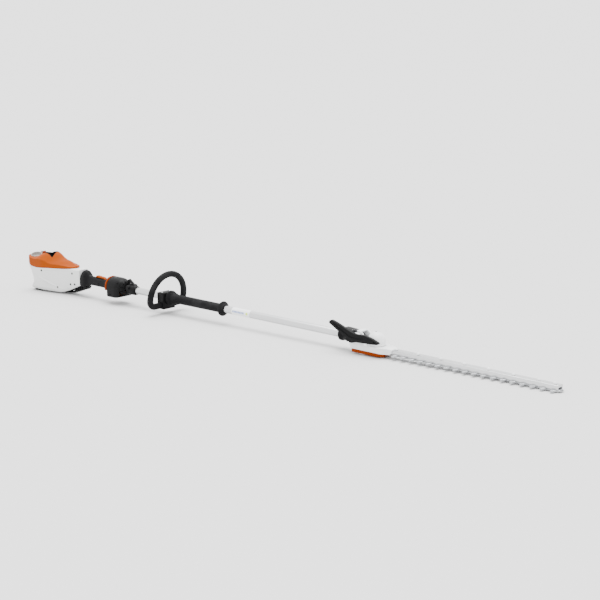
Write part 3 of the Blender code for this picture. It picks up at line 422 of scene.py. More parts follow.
def rounded_copy(node, edge=0.0004, segments=2, material=None):
    """A CAD part with its sharp edges rounded. It stands for the node."""
    source = NODES[node]
    piece = source.copy()
    piece.data = source.data.copy()
    piece.name = "finished_" + node
    piece.parent = None
    bpy.context.scene.collection.objects.link(piece)
    only(piece)
    bpy.ops.object.mode_set(mode="EDIT")
    bpy.ops.mesh.select_all(action="SELECT")
    bpy.ops.mesh.remove_doubles(threshold=0.000005)
    bpy.ops.mesh.dissolve_limited(angle_limit=math.radians(1.5))
    bpy.ops.object.mode_set(mode="OBJECT")
    modified(piece, "BEVEL", width=edge, segments=segments, limit_method="ANGLE", angle_limit=math.radians(40),
             use_clamp_overlap=True, harden_normals=False)
    shaded(piece)
    if material:
        piece.data.materials.clear()
        piece.data.materials.append(material)
    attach(piece, source["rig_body"])
    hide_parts(node)
    return piece


# %% [markdown]
# ## Helpers for new pieces
# Three ways of making a shape cover most of this machine. A turned part is a closed outline swept round an axis. A
# flat part is an outline made thick. A moulded skin is a grid whose rows are cross-sections of the casing. Each
# outline has its corners softened first, so every edge has a small round.

# %% Outlines


def softened(points, radius, steps=3, closed=True):
    """An outline with rounded corners. A corner on an axis, where the second number is 0, stays sharp."""
    result = []
    for i, corner in enumerate(points):
        at_end = not closed and i in (0, len(points) - 1)
        here = Vector(corner)
        before, after = Vector(points[i - 1]) - here, Vector(points[(i + 1) % len(points)]) - here
        if at_end or abs(corner[1]) < 1e-7 or before.length < 1e-7 or after.length < 1e-7:
            result.append(tuple(here))
            continue
        angle = before.angle(after)
        if angle > math.radians(172):
            result.append(tuple(here))
            continue
        reach = min(radius / math.tan(angle / 2), 0.45 * before.length, 0.45 * after.length)
        start, end = here + before.normalized() * reach, here + after.normalized() * reach
        for k in range(steps + 1):
            t = k / steps
            result.append(tuple(start * (1 - t) ** 2 + here * 2 * t * (1 - t) + end * t * t))
    return result


def evenly(points, count):
    """The same line with a number of evenly spaced points."""
    lengths = [0.0]
    for a, b in zip(points, points[1:]):
        lengths.append(lengths[-1] + (Vector(b) - Vector(a)).length)
    result, k = [], 0
    for i in range(count):
        wanted = lengths[-1] * i / (count - 1)
        while k < len(points) - 2 and lengths[k + 1] < wanted:
            k += 1
        run = lengths[k + 1] - lengths[k]
        share = 0.0 if run < 1e-9 else (wanted - lengths[k]) / run
        result.append(tuple(Vector(points[k]).lerp(Vector(points[k + 1]), min(1.0, share))))
    return result


def flow(x, points):
    """The value at x on a smooth line through (x, value) points, with no overshoot."""
    if x <= points[0][0]:
        return points[0][1]
    if x >= points[-1][0]:
        return points[-1][1]
    slopes = [(b[1] - a[1]) / (b[0] - a[0]) for a, b in zip(points, points[1:])]

    def tangent(i):
        if i == 0 or i == len(points) - 1:
            return slopes[0] if i == 0 else slopes[-1]
        left, right = slopes[i - 1], slopes[i]
        return 0.0 if left * right <= 0 else 2 * left * right / (left + right)

    i = max(k for k in range(len(points) - 1) if points[k][0] <= x)
    (x0, y0), (x1, y1) = points[i], points[i + 1]
    width = x1 - x0
    t = (x - x0) / width
    return (y0 * (1 + 2 * t) * (1 - t) ** 2 + tangent(i) * width * t * (1 - t) ** 2
            + y1 * t * t * (3 - 2 * t) + tangent(i + 1) * width * t * t * (t - 1))


def ellipse(u, v, a, b, count=48, start=0.0, sweep=360.0):
    steps = count if sweep == 360.0 else count - 1
    angles = [math.radians(start + sweep * i / steps) for i in range(count)]
    return [(u + a * math.cos(t), v + b * math.sin(t)) for t in angles]


# %% Turned, flat and moulded shapes
TURNS = {"X": Matrix.Rotation(math.radians(90), 4, "Y"), "Y": Matrix.Rotation(math.radians(-90), 4, "X"),
         "Z": Matrix.Identity(4)}


def loop_of_points(name, count, fill="NOTHING"):
    bpy.ops.object.select_all(action="DESELECT")
    bpy.ops.mesh.primitive_circle_add(vertices=count, radius=1.0, fill_type=fill)
    piece = bpy.context.object
    piece.name = piece.data.name = name
    return piece


def cleaned(piece, merge=0.00001):
    only(piece)
    bpy.ops.object.mode_set(mode="EDIT")
    bpy.ops.mesh.select_all(action="SELECT")
    bpy.ops.mesh.remove_doubles(threshold=merge)
    bpy.ops.mesh.dissolve_degenerate(threshold=0.0000005)
    bpy.ops.mesh.delete_loose()
    bpy.ops.mesh.select_all(action="SELECT")
    bpy.ops.mesh.normals_make_consistent(inside=False)
    bpy.ops.object.mode_set(mode="OBJECT")
    return piece


def turned(name, profile, axis="X", centre=(0, 0, 0), steps=72, soft=0.0006):
    """Sweeps a closed outline of (distance along the axis, radius) round the axis."""
    outline = softened(profile, soft)
    piece = loop_of_points(name, len(outline))
    for vertex, (along, radius) in zip(piece.data.vertices, outline):
        vertex.co = (radius, 0.0, along)
    modified(piece, "SCREW", angle=math.radians(360), steps=steps, render_steps=steps, use_merge_vertices=True,
             merge_threshold=0.00001, use_smooth_shade=True)
    piece.data.transform(Matrix.Translation(Vector(centre)) @ TURNS[axis])
    return cleaned(piece)


PLANES = {"XZ": Matrix.Rotation(math.radians(90), 4, "X"), "XY": Matrix.Identity(4),
          "YZ": Matrix(((0, 0, 1, 0), (1, 0, 0, 0), (0, 1, 0, 0), (0, 0, 0, 1)))}


def flat(name, outline, thickness, plane="XZ", middle=(0, 0, 0), edge=0.0006, segments=2):
    """Fills an outline, makes it thick on both sides of its plane, and rounds its edges."""
    piece = loop_of_points(name, len(outline), "NGON")
    for vertex, (u, v) in zip(piece.data.vertices, outline):
        vertex.co = (u, v, 0.0)
    modified(piece, "SOLIDIFY", thickness=thickness, offset=0.0)
    piece.data.transform(Matrix.Translation(Vector(middle)) @ PLANES[plane])
    cleaned(piece)
    if edge:
        modified(piece, "BEVEL", width=edge, segments=segments, limit_method="ANGLE",
                 angle_limit=math.radians(50))
    return piece


def skin(name, rows, columns, where, wall=0.0):
    """A grid whose point at (row, column), both from 0 to 1, stands at where(row, column)."""
    bpy.ops.object.select_all(action="DESELECT")
    bpy.ops.mesh.primitive_grid_add(x_subdivisions=rows, y_subdivisions=columns, size=1.0)
    piece = bpy.context.object
    piece.name = piece.data.name = name
    for vertex in piece.data.vertices:
        vertex.co = where(round((vertex.co.x + 0.5) * rows), round((vertex.co.y + 0.5) * columns))
    cleaned(piece)
    return modified(piece, "SOLIDIFY", thickness=wall, offset=-1.0) if wall else piece


def block(name, low, high):
    bpy.ops.object.select_all(action="DESELECT")
    low, high = Vector(low), Vector(high)
    bpy.ops.mesh.primitive_cube_add(size=1.0, location=(low + high) / 2, scale=high - low)
    piece = bpy.context.object
    bpy.ops.object.transform_apply(location=True, rotation=True, scale=True)
    piece.name = piece.data.name = name
    return piece


def rod(name, start, end, radius, sides=32):
    bpy.ops.object.select_all(action="DESELECT")
    start, end = Vector(start), Vector(end)
    bpy.ops.mesh.primitive_cylinder_add(vertices=sides, radius=radius, depth=(end - start).length)
    piece = bpy.context.object
    piece.name = piece.data.name = name
    turn = (end - start).to_track_quat("Z", "Y").to_matrix().to_4x4()
    piece.data.transform(Matrix.Translation((start + end) / 2) @ turn)
    return piece


def carved(piece, *tools, operation="DIFFERENCE"):
    """Cuts each tool out of a piece, or joins it on, and throws the tool away."""
    for tool in tools:
        modified(piece, "BOOLEAN", object=tool, operation=operation, solver="EXACT")
        bpy.data.objects.remove(tool)
    return piece


def placed(piece, material, body, replaces=(), angle=35):
    """Moves a finished piece into the frame, paints it and hangs it on its body."""
    piece.data.transform(Matrix.Translation(TO_FRAME))
    piece.data.materials.clear()
    piece.data.materials.append(material)
    shaded(piece, angle)
    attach(piece, body)
    if replaces:
        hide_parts(*replaces)
    print(piece.name, len(piece.data.polygons), "faces")
    return piece


# %% [markdown]
# ## The powerhead's casing
# Two light grey halves meet on the machine's middle line, and an orange hood closes them from above. Seen from
# above, the casing has round rear corners and narrows to the front. Its side wall stands almost upright, with a
# raised panel edge that runs down it, and a soft corner turns under into the floor. A grid whose rows are
# cross-sections gives all of this in one smooth skin.

# %% The casing's outlines
SHELL_WALL = 0.0025
REAR_CORNER = 0.030
CASING_HALF_WIDTH = own_box("housing_shell_left")[1].y
CASING_END = own_box("housing_shell_left")[1].x
CASING_FLOOR = own_box("housing_shell_left")[0].z - 0.0050


def half_width(x):
    if x < REAR_CORNER:
        return CASING_HALF_WIDTH - REAR_CORNER + math.sqrt(max(0.0, REAR_CORNER**2 - (REAR_CORNER - x) ** 2))
    return flow(x, [(REAR_CORNER, CASING_HALF_WIDTH), (0.095, CASING_HALF_WIDTH - 0.0005), (0.130, 0.0535),
                    (0.165, 0.0470), (0.218, 0.0360), (0.263, 0.0275), (0.305, 0.0252), (CASING_END, 0.0225)])


def seam_height(x):
    return flow(x, [(0.0, 0.0490), (0.0128, 0.0455), (0.0355, 0.0330), (0.0654, 0.0299), (0.136, 0.0339),
                    (0.221, 0.0385), (0.2714, 0.0428), (CASING_END, 0.0436)])


def floor_height(x):
    return flow(x, [(0.0, CASING_FLOOR), (0.193, CASING_FLOOR), (0.207, CASING_FLOOR + 0.002),
                    (CASING_END, -0.0237)])


def rear_lean(x, z):
    """How far the rear wall stands forward at a height. It dies out along the casing."""
    lean = flow(z, [(-0.068, 0.008), (-0.060, 0.010), (-0.030, 0.036), (0.010, 0.020), (0.034, 0.0)])
    return lean * max(0.0, 1 - x / 0.11) ** 1.5


PANEL_EDGE = (Vector((0.090, -0.012)), Vector((0.215, -0.052)))
PANEL_STEP = 0.0024
BROW = (Vector((0.105, 0.019)), Vector((0.250, 0.028)))


def across(x, z, line):
    """The distance of a point of the side wall from a line on it, and how far along the line it is."""
    start, end = line
    along = (end - start).normalized()
    point = Vector((x, z)) - start
    return along.x * point.y - along.y * point.x, point.dot(along) / (end - start).length


def step(value, softness):
    return 1 / (1 + math.exp(-max(-40.0, min(40.0, value / softness))))


def side_relief(x, z):
    """How far the side wall stands out: a step along the panel's edge and a shallow groove under the hood."""
    edge, along = across(x, z, PANEL_EDGE)
    fade = step(along - 0.0, 0.03) * step(1.0 - along, 0.03)
    brow, brow_along = across(x, z, BROW)
    groove = math.exp(-(brow / 0.0012) ** 2) * step(brow_along, 0.03) * step(1.0 - brow_along, 0.03)
    ridge = math.exp(-(edge / 0.0028) ** 2)
    return PANEL_STEP * fade * ridge - 0.0012 * groove


# %% Light grey casing halves
CASING_ROWS, CASING_COLUMNS = 130, 90
HOOD_END = own_box("top_hood")[1].x
SEAM_GAP = 0.0002


NOSE_START = 0.250


def hood_half_width(x):
    """The hood is as wide as the casing, then rounds in to a nose."""
    if x <= NOSE_START:
        return half_width(x)
    return half_width(x) * math.sqrt(max(0.0, 1 - ((x - NOSE_START) / (HOOD_END - NOSE_START)) ** 2))


def casing_section(x):
    """From the deck beside the hood's nose, over the edge and down the side to the middle of the floor."""
    width, top, low = half_width(x), seam_height(x) - 0.0010, floor_height(x)
    deck = width - 0.001 if x <= NOSE_START else max(SEAM_GAP, hood_half_width(x) - 0.006)
    outline = [(deck, top), (width, top), (width, 0.4 * top + 0.6 * low), (0.955 * width, low + 0.012),
               (0.83 * width, low), (SEAM_GAP, low)]
    return evenly(softened(outline, 0.006, 5, closed=False), CASING_COLUMNS + 1)


def stations(rows, end, nose=None):
    """Stations stand close together round the rear corners and the nose, and evenly along the rest."""
    corner_rows = rows // 5
    nose_rows = rows // 6 if nose else 0
    straight = nose or end
    line = [REAR_CORNER * (1 - math.cos(math.radians(90 * i / corner_rows))) for i in range(corner_rows)]
    even = rows - corner_rows - nose_rows
    line += [REAR_CORNER + (straight - REAR_CORNER) * i / even for i in range(even + (0 if nose else 1))]
    if nose:
        line += [nose + (end - nose) * math.sin(math.radians(90 * i / nose_rows)) for i in range(nose_rows + 1)]
    return line


def casing_half(name, side, node):
    xs = stations(CASING_ROWS - 2, CASING_END)
    sections = [casing_section(x) for x in xs]

    def where(row, column):
        x = xs[min(max(row - 1, 0), len(xs) - 1)]
        y, z = sections[min(max(row - 1, 0), len(xs) - 1)][column]
        if row in (0, CASING_ROWS):
            return x + rear_lean(x, z), side * SEAM_GAP, z
        wall = step(y - 0.8 * half_width(x), 0.002) if y > 0.01 else 0.0
        return x + rear_lean(x, z), side * (y + wall * side_relief(x, z)), z

    piece = skin(name, CASING_ROWS, CASING_COLUMNS, where)
    middle = max(piece.data.polygons, key=lambda face: abs(face.center.y))
    if middle.normal.y * side < 0:
        piece.data.flip_normals()
    modified(piece, "SOLIDIFY", thickness=SHELL_WALL, offset=-1.0)
    vents = [block("vent", (0.100 + 0.010 * i, min(side * 0.008, side * 0.040), -0.08),
                   (0.104 + 0.010 * i, max(side * 0.008, side * 0.040), -0.05)) for i in range(8)]
    carved(piece, *vents)
    return placed(piece, light_grey_plastic, "pole_unit", [node])


casing_half("casing_right_half", -1, "housing_shell_right")
casing_half("casing_left_half", 1, "housing_shell_left")

# %% [markdown]
# ## The orange hood
# The hood is one moulding over the top of the powerhead. Its lower band stands upright like the casing below it,
# then a broad face leans in to the crown. The crown climbs from the grip dish to its highest point by the battery
# bay, and falls in a steep slope and then a shallow nose. The battery bay and the grip dish are cut through it.

# %% Hood
HOOD_ROWS, HOOD_COLUMNS = 170, 130
WELL_LOW, WELL_HIGH = own_box("battery_well")
DISH_RADIUS = 0.0220
DISH_NORMAL = Vector((0.154, 0.222, 0.963))


def hood_band(x):
    """The height of the hood's side bands."""
    return flow(x, [(0.0, 0.0755), (0.020, 0.0707), (0.047, 0.0650), (0.070, 0.0655), (0.100, 0.0660),
                    (0.120, 0.0630), (0.140, 0.0545), (0.177, 0.0520), (0.220, 0.0516), (0.259, 0.0483), (0.281, 0.0468)])


def hood_crown(x):
    return flow(x, [(0.0, 0.0790), (0.020, 0.0800), (0.047, 0.0805), (0.060, 0.0830), (0.075, 0.0900), (0.100, 0.0940),
                    (0.120, 0.0962), (0.140, 0.0985), (0.150, 0.0975), (0.156, 0.0955), (0.170, 0.0890),
                    (0.190, 0.0768), (0.205, 0.0705), (0.2275, 0.0670), (0.260, 0.0545), (0.281, 0.0485)])


def hood_top(x, y):
    """The hood's surface. Its crown sweeps forward in the middle, and a fine groove crosses its front slope."""
    lead = flow(x, [(0.060, 0.0), (0.100, 1.0)])
    power = flow(x, [(0.050, 1.0), (0.085, 2.2)])
    share = min(1.0, abs(y) / max(hood_half_width(x), 0.0001))
    rise = max(0.0, hood_crown(x + lead * abs(y)) - hood_band(x))
    groove = 0.0007 * math.exp(-((x + 0.6 * abs(y) - 0.2060) / 0.0022) ** 2)
    return hood_band(x) + rise * (1 - share**power) - groove * (1 - share)


def hood_section(x):
    width, low = hood_half_width(x), seam_height(x)
    half = [(width, low)] + [(width * math.cos(math.radians(a)), hood_top(x, width * math.cos(math.radians(a))))
                             for a in range(0, 90, 5)]
    ring = half + [(0.0, hood_top(x, 0.0))] + [(-y, z) for y, z in reversed(half)]
    return evenly(softened([(y + 1.0, z) for y, z in ring], 0.0030, 3, closed=False), HOOD_COLUMNS + 1)


def hood():
    xs = stations(HOOD_ROWS - 2, HOOD_END - 0.0002, NOSE_START)
    sections = [hood_section(x) for x in xs]

    def where(row, column):
        x = xs[min(max(row - 1, 0), len(xs) - 1)]
        shifted, z = sections[min(max(row - 1, 0), len(xs) - 1)][column]
        if row == 0:
            low = seam_height(0.0)
            return 0.0, 0.0, low + 0.97 * (z - low)
        return x, 0.0 if row == HOOD_ROWS else shifted - 1.0, z

    piece = skin("hood", HOOD_ROWS, HOOD_COLUMNS, where)
    crown = max(piece.data.polygons, key=lambda face: face.center.z)
    if crown.normal.z < 0:
        piece.data.flip_normals()
    modified(piece, "SOLIDIFY", thickness=SHELL_WALL, offset=-1.0)
    return piece


def dish_place(side):
    """Where one finger dish stands: its rim's middle, and its axis square to the hood."""
    along = Vector((DISH_NORMAL.x, side * DISH_NORMAL.y, DISH_NORMAL.z)).normalized()
    return Vector((0.028, side * 0.025, 0.0762)), along


def hood_cutters():
    low = (WELL_LOW.x - 0.0004, WELL_LOW.y - 0.0004)
    high = (WELL_HIGH.x + 0.0004, WELL_HIGH.y + 0.0004)
    corners = [(low[0], low[1]), (high[0], low[1]), (high[0], high[1]), (low[0], high[1])]
    bay = flat("bay_cutter", softened(corners, 0.003, 4), 0.2, "XY", (0, 0, 0.12), edge=0)
    lever_low, lever_high = own_box("battery_lock_lever")
    slot = block("lever_cutter", (lever_low.x - 0.0060, lever_low.y - 0.0012, 0.05),
                 (lever_high.x + 0.0015, lever_high.y + 0.0012, 0.12))
    dishes = []
    for side in (-1, 1):
        rim, along = dish_place(side)
        dishes.append(rod("dish_cutter", rim - 0.03 * along, rim + 0.03 * along, DISH_RADIUS + 0.0002, 96))
    return bay, slot, *dishes


hood_piece = carved(hood(), *hood_cutters())
placed(hood_piece, orange_plastic, "pole_unit", ["top_hood"], angle=30)

# %% [markdown]
# ## The grip dish and the battery bay
# Behind the bay is an oval dish where the fingers reach the battery's edge. It has a thin rolled rim that lies on
# the hood. A ring-shaped grid makes it: each column is one radial line from the rim down to the dish's middle.

# %% Grip dish


def grip_dish(name, side):
    """A shallow cup with a rolled rim, turned on the dish's own axis."""
    piece = turned(name, [(-0.0130, 0.0), (-0.0150, 0.0), (-0.0150, 0.0150), (-0.0135, 0.0195), (-0.0100, 0.0216),
                          (-0.0010, 0.0221), (0.0002, 0.0234), (0.0012, 0.0236), (0.0020, 0.0228), (0.0018, 0.0214),
                          (0.0000, 0.0208), (-0.0080, 0.0200), (-0.0115, 0.0180), (-0.0130, 0.0140)], "Z",
                   (0, 0, 0), 128, 0.0005)
    rim, along = dish_place(side)
    piece.data.transform(Matrix.Translation(rim) @ along.to_track_quat("Z", "X").to_matrix().to_4x4())
    return piece


right_dish = grip_dish("finger_dish_right", -1)
left_dish = grip_dish("finger_dish_left", 1)
placed(right_dish, mid_grey_plastic, "pole_unit", ["grip_tray"], angle=50)
placed(left_dish, mid_grey_plastic, "pole_unit", angle=50)
rounded_copy("battery_well", 0.0006)
rounded_copy("contact_block", 0.0003)
# The lock lever takes the darker orange: painted shade for its place inside the bay.
rounded_copy("battery_lock_lever", 0.0006, material=painted_shade_orange_plastic)

# %% [markdown]
# ## The support foot and the rear pads
# A black frame under the casing's slope keeps the motor off the ground. It is a triangle of ribs that ends in a
# ribbed block. Two rubber pads sit under the rear end.

# %% Foot and pads
FOOT_SLIM = (0.84, 0.62, 1.0)
foot = rounded_copy("support_foot", 0.0007)
foot_rear = Matrix.Translation((own_box("support_foot")[0].x + TO_FRAME.x, 0.0, 0.0))
foot.data.transform(foot_rear @ Matrix.Diagonal((*FOOT_SLIM, 1.0)) @ foot_rear.inverted())
rounded_copy("rear_rest_pad", 0.0010, 3)

# %% [markdown]
# ## The rear handle and the motor casing
# Both are black mouldings in two halves, arched over the top and square below. Their size changes along the
# machine: a block against the powerhead, a round grip, a flare, and the motor's bulge. The same grid of sections
# makes each half, with a fine gap on the middle line.

# %% Arched casing halves


def arched_section(size, columns):
    """Half of an arched section, from the top over the side to the middle of the floor."""
    half, top, low, corner = size
    arch = [(half * math.sin(math.radians(a)), top * math.cos(math.radians(a))) for a in range(0, 91, 6)]
    foot = [(half, low + corner), (half, low), (half - corner, low), (0.0, low)]
    line = softened([(y + 1.0, z) for y, z in arch + foot], 0.7 * corner, 4, closed=False)
    return [(max(y - 1.0, SEAM_GAP), z) for y, z in evenly(line, columns + 1)]


def arched_half(name, stations, side, rows, columns=64, closed_rear=False, wall=0.0025):
    """stations: (station, half width, top, bottom, corner radius), joined by smooth lines."""
    start, end = stations[0][0], stations[-1][0]

    def size(x):
        return [flow(x, [(s[0], s[k]) for s in stations]) for k in range(1, 5)]

    xs = [start + (end - start) * row / rows for row in range(rows + 1)]
    sections = [arched_section(size(x), columns) for x in xs]

    def where(row, column):
        if closed_rear and row == 0:
            y, z = sections[0][column]
            return xs[0], side * max(SEAM_GAP, 0.32 * y), 0.32 * z
        y, z = sections[row][column]
        return xs[row], side * y, z

    piece = skin(name, rows, columns, where)
    outer = max(piece.data.polygons, key=lambda face: side * face.center.y)
    if outer.normal.y * side < 0:
        piece.data.flip_normals()
    return modified(piece, "SOLIDIFY", thickness=wall, offset=-1.0)


HANDLE_STATIONS = [
    (0.3180, 0.0228, 0.0280, -0.0220, 0.009), (0.3215, 0.0240, 0.0350, -0.0225, 0.009),
    (0.3270, 0.0245, 0.0405, -0.0229, 0.009), (0.3380, 0.0247, 0.0438, -0.0232, 0.009),
    (0.3470, 0.0236, 0.0428, -0.0225, 0.009), (0.3560, 0.0206, 0.0352, -0.0192, 0.009),
    (0.3660, 0.0176, 0.0252, -0.0151, 0.009), (0.3800, 0.0165, 0.0215, -0.0128, 0.009),
    (0.4600, 0.0165, 0.0215, -0.0128, 0.009), (0.4740, 0.0175, 0.0225, -0.0135, 0.009),
    (0.4860, 0.0262, 0.0310, -0.0155, 0.009), (0.4920, 0.0325, 0.0365, -0.0160, 0.009),
    (0.4980, 0.0345, 0.0385, -0.0160, 0.009)]


def handle_half(name, side, node):
    piece = arched_half(name, HANDLE_STATIONS, side, 120)
    slot = block("lockout_slot", (0.4020, -0.0068, 0.010), (0.4665, 0.0068, 0.06))
    cheek_outline = softened([(0.4890, -0.0145), (0.4972, -0.0145), (0.4972, -0.0170), (0.5108, -0.0170),
                              (0.5108, -0.0270), (0.5060, -0.0310), (0.5000, -0.0310), (0.4890, -0.0200)], 0.0015)
    cheek = flat("trigger_cheek", cheek_outline, 0.0045, "XZ", (0, side * 0.0110, 0), 0.0005)
    carved(piece, slot)
    carved(piece, cheek, operation="UNION")
    carved(piece, rod("pin_hole", (0.5055, -0.03, -0.0235), (0.5055, 0.03, -0.0235), 0.0021, 24),
           rod("screw_hole", (0.344, side * 0.0225, 0.0205), (0.344, side * 0.045, 0.0205), 0.0030, 24),
           rod("screw_hole", (0.436, side * 0.0150, 0.0), (0.436, side * 0.0250, 0.0), 0.0028, 24))
    return placed(piece, black_plastic, "pole_unit", [node])


handle_half("rear_handle_right_half", -1, "handle_shell_right")
handle_half("rear_handle_left_half", 1, "handle_shell_left")

# %% Motor casing
MOTOR_STATIONS = [
    (0.5122, 0.0375, 0.0370, -0.0350, 0.0085), (0.5132, 0.0390, 0.0386, -0.0366, 0.0090),
    (0.5160, 0.0403, 0.0399, -0.0379, 0.0095), (0.5300, 0.0407, 0.0402, -0.0382, 0.0100),
    (0.5560, 0.0405, 0.0400, -0.0380, 0.0100), (0.5700, 0.0390, 0.0383, -0.0370, 0.0120),
    (0.5800, 0.0358, 0.0348, -0.0345, 0.0135), (0.5840, 0.0338, 0.0325, -0.0328, 0.0140)]


def motor_half(name, side, node):
    piece = arched_half(name, MOTOR_STATIONS, side, 60, closed_rear=True)
    screw_seat = rod("screw_seat", (0.572, side * 0.031, 0.024), (0.572, side * 0.060, 0.024), 0.0036, 24)
    lower_seat = rod("screw_seat", (0.536, side * 0.030, -0.028), (0.536, side * 0.060, -0.028), 0.0032, 24)
    vents = [block("motor_vent", (0.545 + 0.0065 * i, min(side * 0.006, side * 0.026), -0.06),
                   (0.5482 + 0.0065 * i, max(side * 0.006, side * 0.026), -0.030)) for i in range(4)]
    carved(piece, screw_seat, lower_seat, *vents)
    return placed(piece, black_plastic, "pole_unit", [node])


motor_half("motor_casing_right_half", -1, "motor_shell_right")
motor_half("motor_casing_left_half", 1, "motor_shell_left")

nose_start, nose_end = own_box("intake_grille")[0].x, own_box("intake_grille")[1].x
nose = turned("motor_nose", [
    (nose_start, 0.0300), (nose_start, 0.0325), (0.5865, 0.0328), (0.5895, 0.0320), (0.5930, 0.0297), (0.5960, 0.0262),
    (0.5983, 0.0222), (nose_end, 0.0180), (nose_end, 0.0150), (0.5970, 0.0150), (0.5960, 0.0230), (0.5900, 0.0295)],
    steps=120, soft=0.0006)
for i in range(12):
    slot = block("nose_slot", (0.5885, -0.0014, 0.0240), (0.5985, 0.0014, 0.0400))
    slot.data.transform(Matrix.Rotation(math.radians(15 + 30 * i), 4, "X"))
    carved(nose, slot)
placed(nose, black_plastic, "pole_unit", ["intake_grille"], angle=40)

# %% [markdown]
# ## The orange collar and the controls
# A collar of orange plastic sits between the handle and the motor and takes up vibration. It is a turned ring with
# a rolled edge, cut away below for the trigger. The trigger and its lockout are orange, so that a hand finds them.

# %% Collar, trigger and lockout
RING_LOW, RING_HIGH = own_box("damping_ring")
ring_start, ring_end = RING_LOW.x, RING_HIGH.x
collar = turned("damping_collar", [
    (ring_start + 0.0022, 0.0300), (ring_start + 0.0022, 0.0385), (ring_start + 0.0034, 0.0402),
    (ring_start + 0.0050, 0.0404), (ring_end - 0.0050, 0.0404), (ring_end - 0.0034, 0.0402),
    (ring_end - 0.0022, 0.0390), (ring_end - 0.0022, 0.0300)], steps=120)
carved(collar, block("collar_gap", (0.48, -0.06, -0.06), (0.53, 0.06, -0.0128)))
# The collar and the trigger take the darker orange: painted shade, since their plastic is the same orange as the hood.
placed(collar, painted_shade_orange_plastic, "pole_unit", ["damping_ring"], angle=30)
rounded_copy("throttle_lockout", 0.0006, material=orange_plastic)
rounded_copy("trigger", 0.0006, material=painted_shade_orange_plastic)

# %% [markdown]
# ## The tube, its loop and its grip
# The tube is plain drawn aluminium. The loop handle is a rubber-covered bar that arches over it and comes back to
# a clamp. The hose grip starts in a round swell against the clamp and ends at a flange.

# %% Drive tube
tube_start, tube_end = own_box("drive_tube")[0].x, own_box("drive_tube")[1].x
tube = turned("pole_tube", [(tube_start, TUBE_RADIUS - 0.0016), (tube_start, TUBE_RADIUS), (tube_end, TUBE_RADIUS),
                            (tube_end, TUBE_RADIUS - 0.0016)], steps=128, soft=0.0003)
placed(tube, tube_aluminium, "pole_unit", ["drive_tube"])
rounded_copy("carrying_eye", 0.0005)

# %% [markdown]
# A short printed sleeve is wrapped round the tube in front of the grip. It is a plain film with a blue band and a
# round yellow-green dot, and it carries no words.

# %% Tube sleeve with a band and a dot


def printed_film():
    finish = Finish("printed_film", (0.80, 0.81, 0.82), 0.32)
    x, y, z = (finish.node("ShaderNodeSeparateXYZ", {}, {0: finish.place}, output=k) for k in range(3))
    along = x - (TO_FRAME.x + 1.2335)
    rise = z - (TO_FRAME.z + 0.002)
    band = 1.0 - along._math("ABSOLUTE", along, 0.0).above(0.030, 0.0005)
    low_band = 1.0 - rise._math("ABSOLUTE", rise, 0.0).above(0.0036, 0.0004)
    dashes = along._math("SINE", along * 900.0, 0.0).above(-0.45, 0.12)
    reach = (along - 0.0435) * (along - 0.0435) + rise * rise
    dot = 1.0 - reach.above(0.0052**2, 0.000002)
    near = y.above(0.0, 0.0005)
    paper = finish.mixed((0.80, 0.81, 0.82), (0.05, 0.13, 0.42), band * low_band * dashes * (1.0 - near))
    finish.vary("Base Color", finish.mixed(paper, (0.55, 0.72, 0.08), dot * (1.0 - near)))
    finish.vary("Roughness", 0.26 + 0.12 * finish.noise(40.0))
    finish.relief(finish.noise(500.0), 0.00002)
    return finish.material


film = turned("tube_sleeve", [(1.1990, TUBE_RADIUS + 0.00002), (1.1990, TUBE_RADIUS + 0.00022),
                              (1.2900, TUBE_RADIUS + 0.00022), (1.2900, TUBE_RADIUS + 0.00002)], steps=128, soft=0)
placed(film, printed_film(), "pole_unit")

# %% Loop handle
LOOP_LOW, LOOP_HIGH = own_box("loop_handle")
LOOP_BAR = 0.0122
LOOP_STATION = 0.833
LOOP_LEAN = math.tan(math.radians(10))


def loop_path():
    """The arch over the tube, the round lower corners, and the short ends that run into the clamp."""
    half = ellipse(0, 0, LOOP_HIGH.y - LOOP_BAR, LOOP_HIGH.z - LOOP_BAR, 40, 90, -90)
    corner = ellipse(0.0600, -0.0020, LOOP_HIGH.y - LOOP_BAR - 0.0600, 0.0280, 20, -4, -86)
    right = half + corner + [(0.0460, -0.0300), (0.0280, -0.0300)]
    line = [(-y, z) for y, z in reversed(right)] + right[1:]
    return [(LOOP_STATION + LOOP_LEAN * z, y, z) for y, z in line]


def bar_along(name, points, radius):
    curve = bpy.data.curves.new(name, "CURVE")
    curve.dimensions = "3D"
    curve.bevel_depth = radius
    curve.bevel_resolution = 10
    curve.use_fill_caps = True
    line = curve.splines.new("POLY")
    line.points.add(len(points) - 1)
    for point, place in zip(line.points, points):
        point.co = (*place, 1.0)
    piece = bpy.data.objects.new(name, curve)
    bpy.context.scene.collection.objects.link(piece)
    only(piece)
    bpy.ops.object.convert(target="MESH")
    return cleaned(bpy.context.object)


loop = bar_along("loop_grip", loop_path(), LOOP_BAR)
placed(loop, black_rubber, "pole_unit", ["loop_handle"], angle=60)
rounded_copy("loop_clamp", 0.0008)

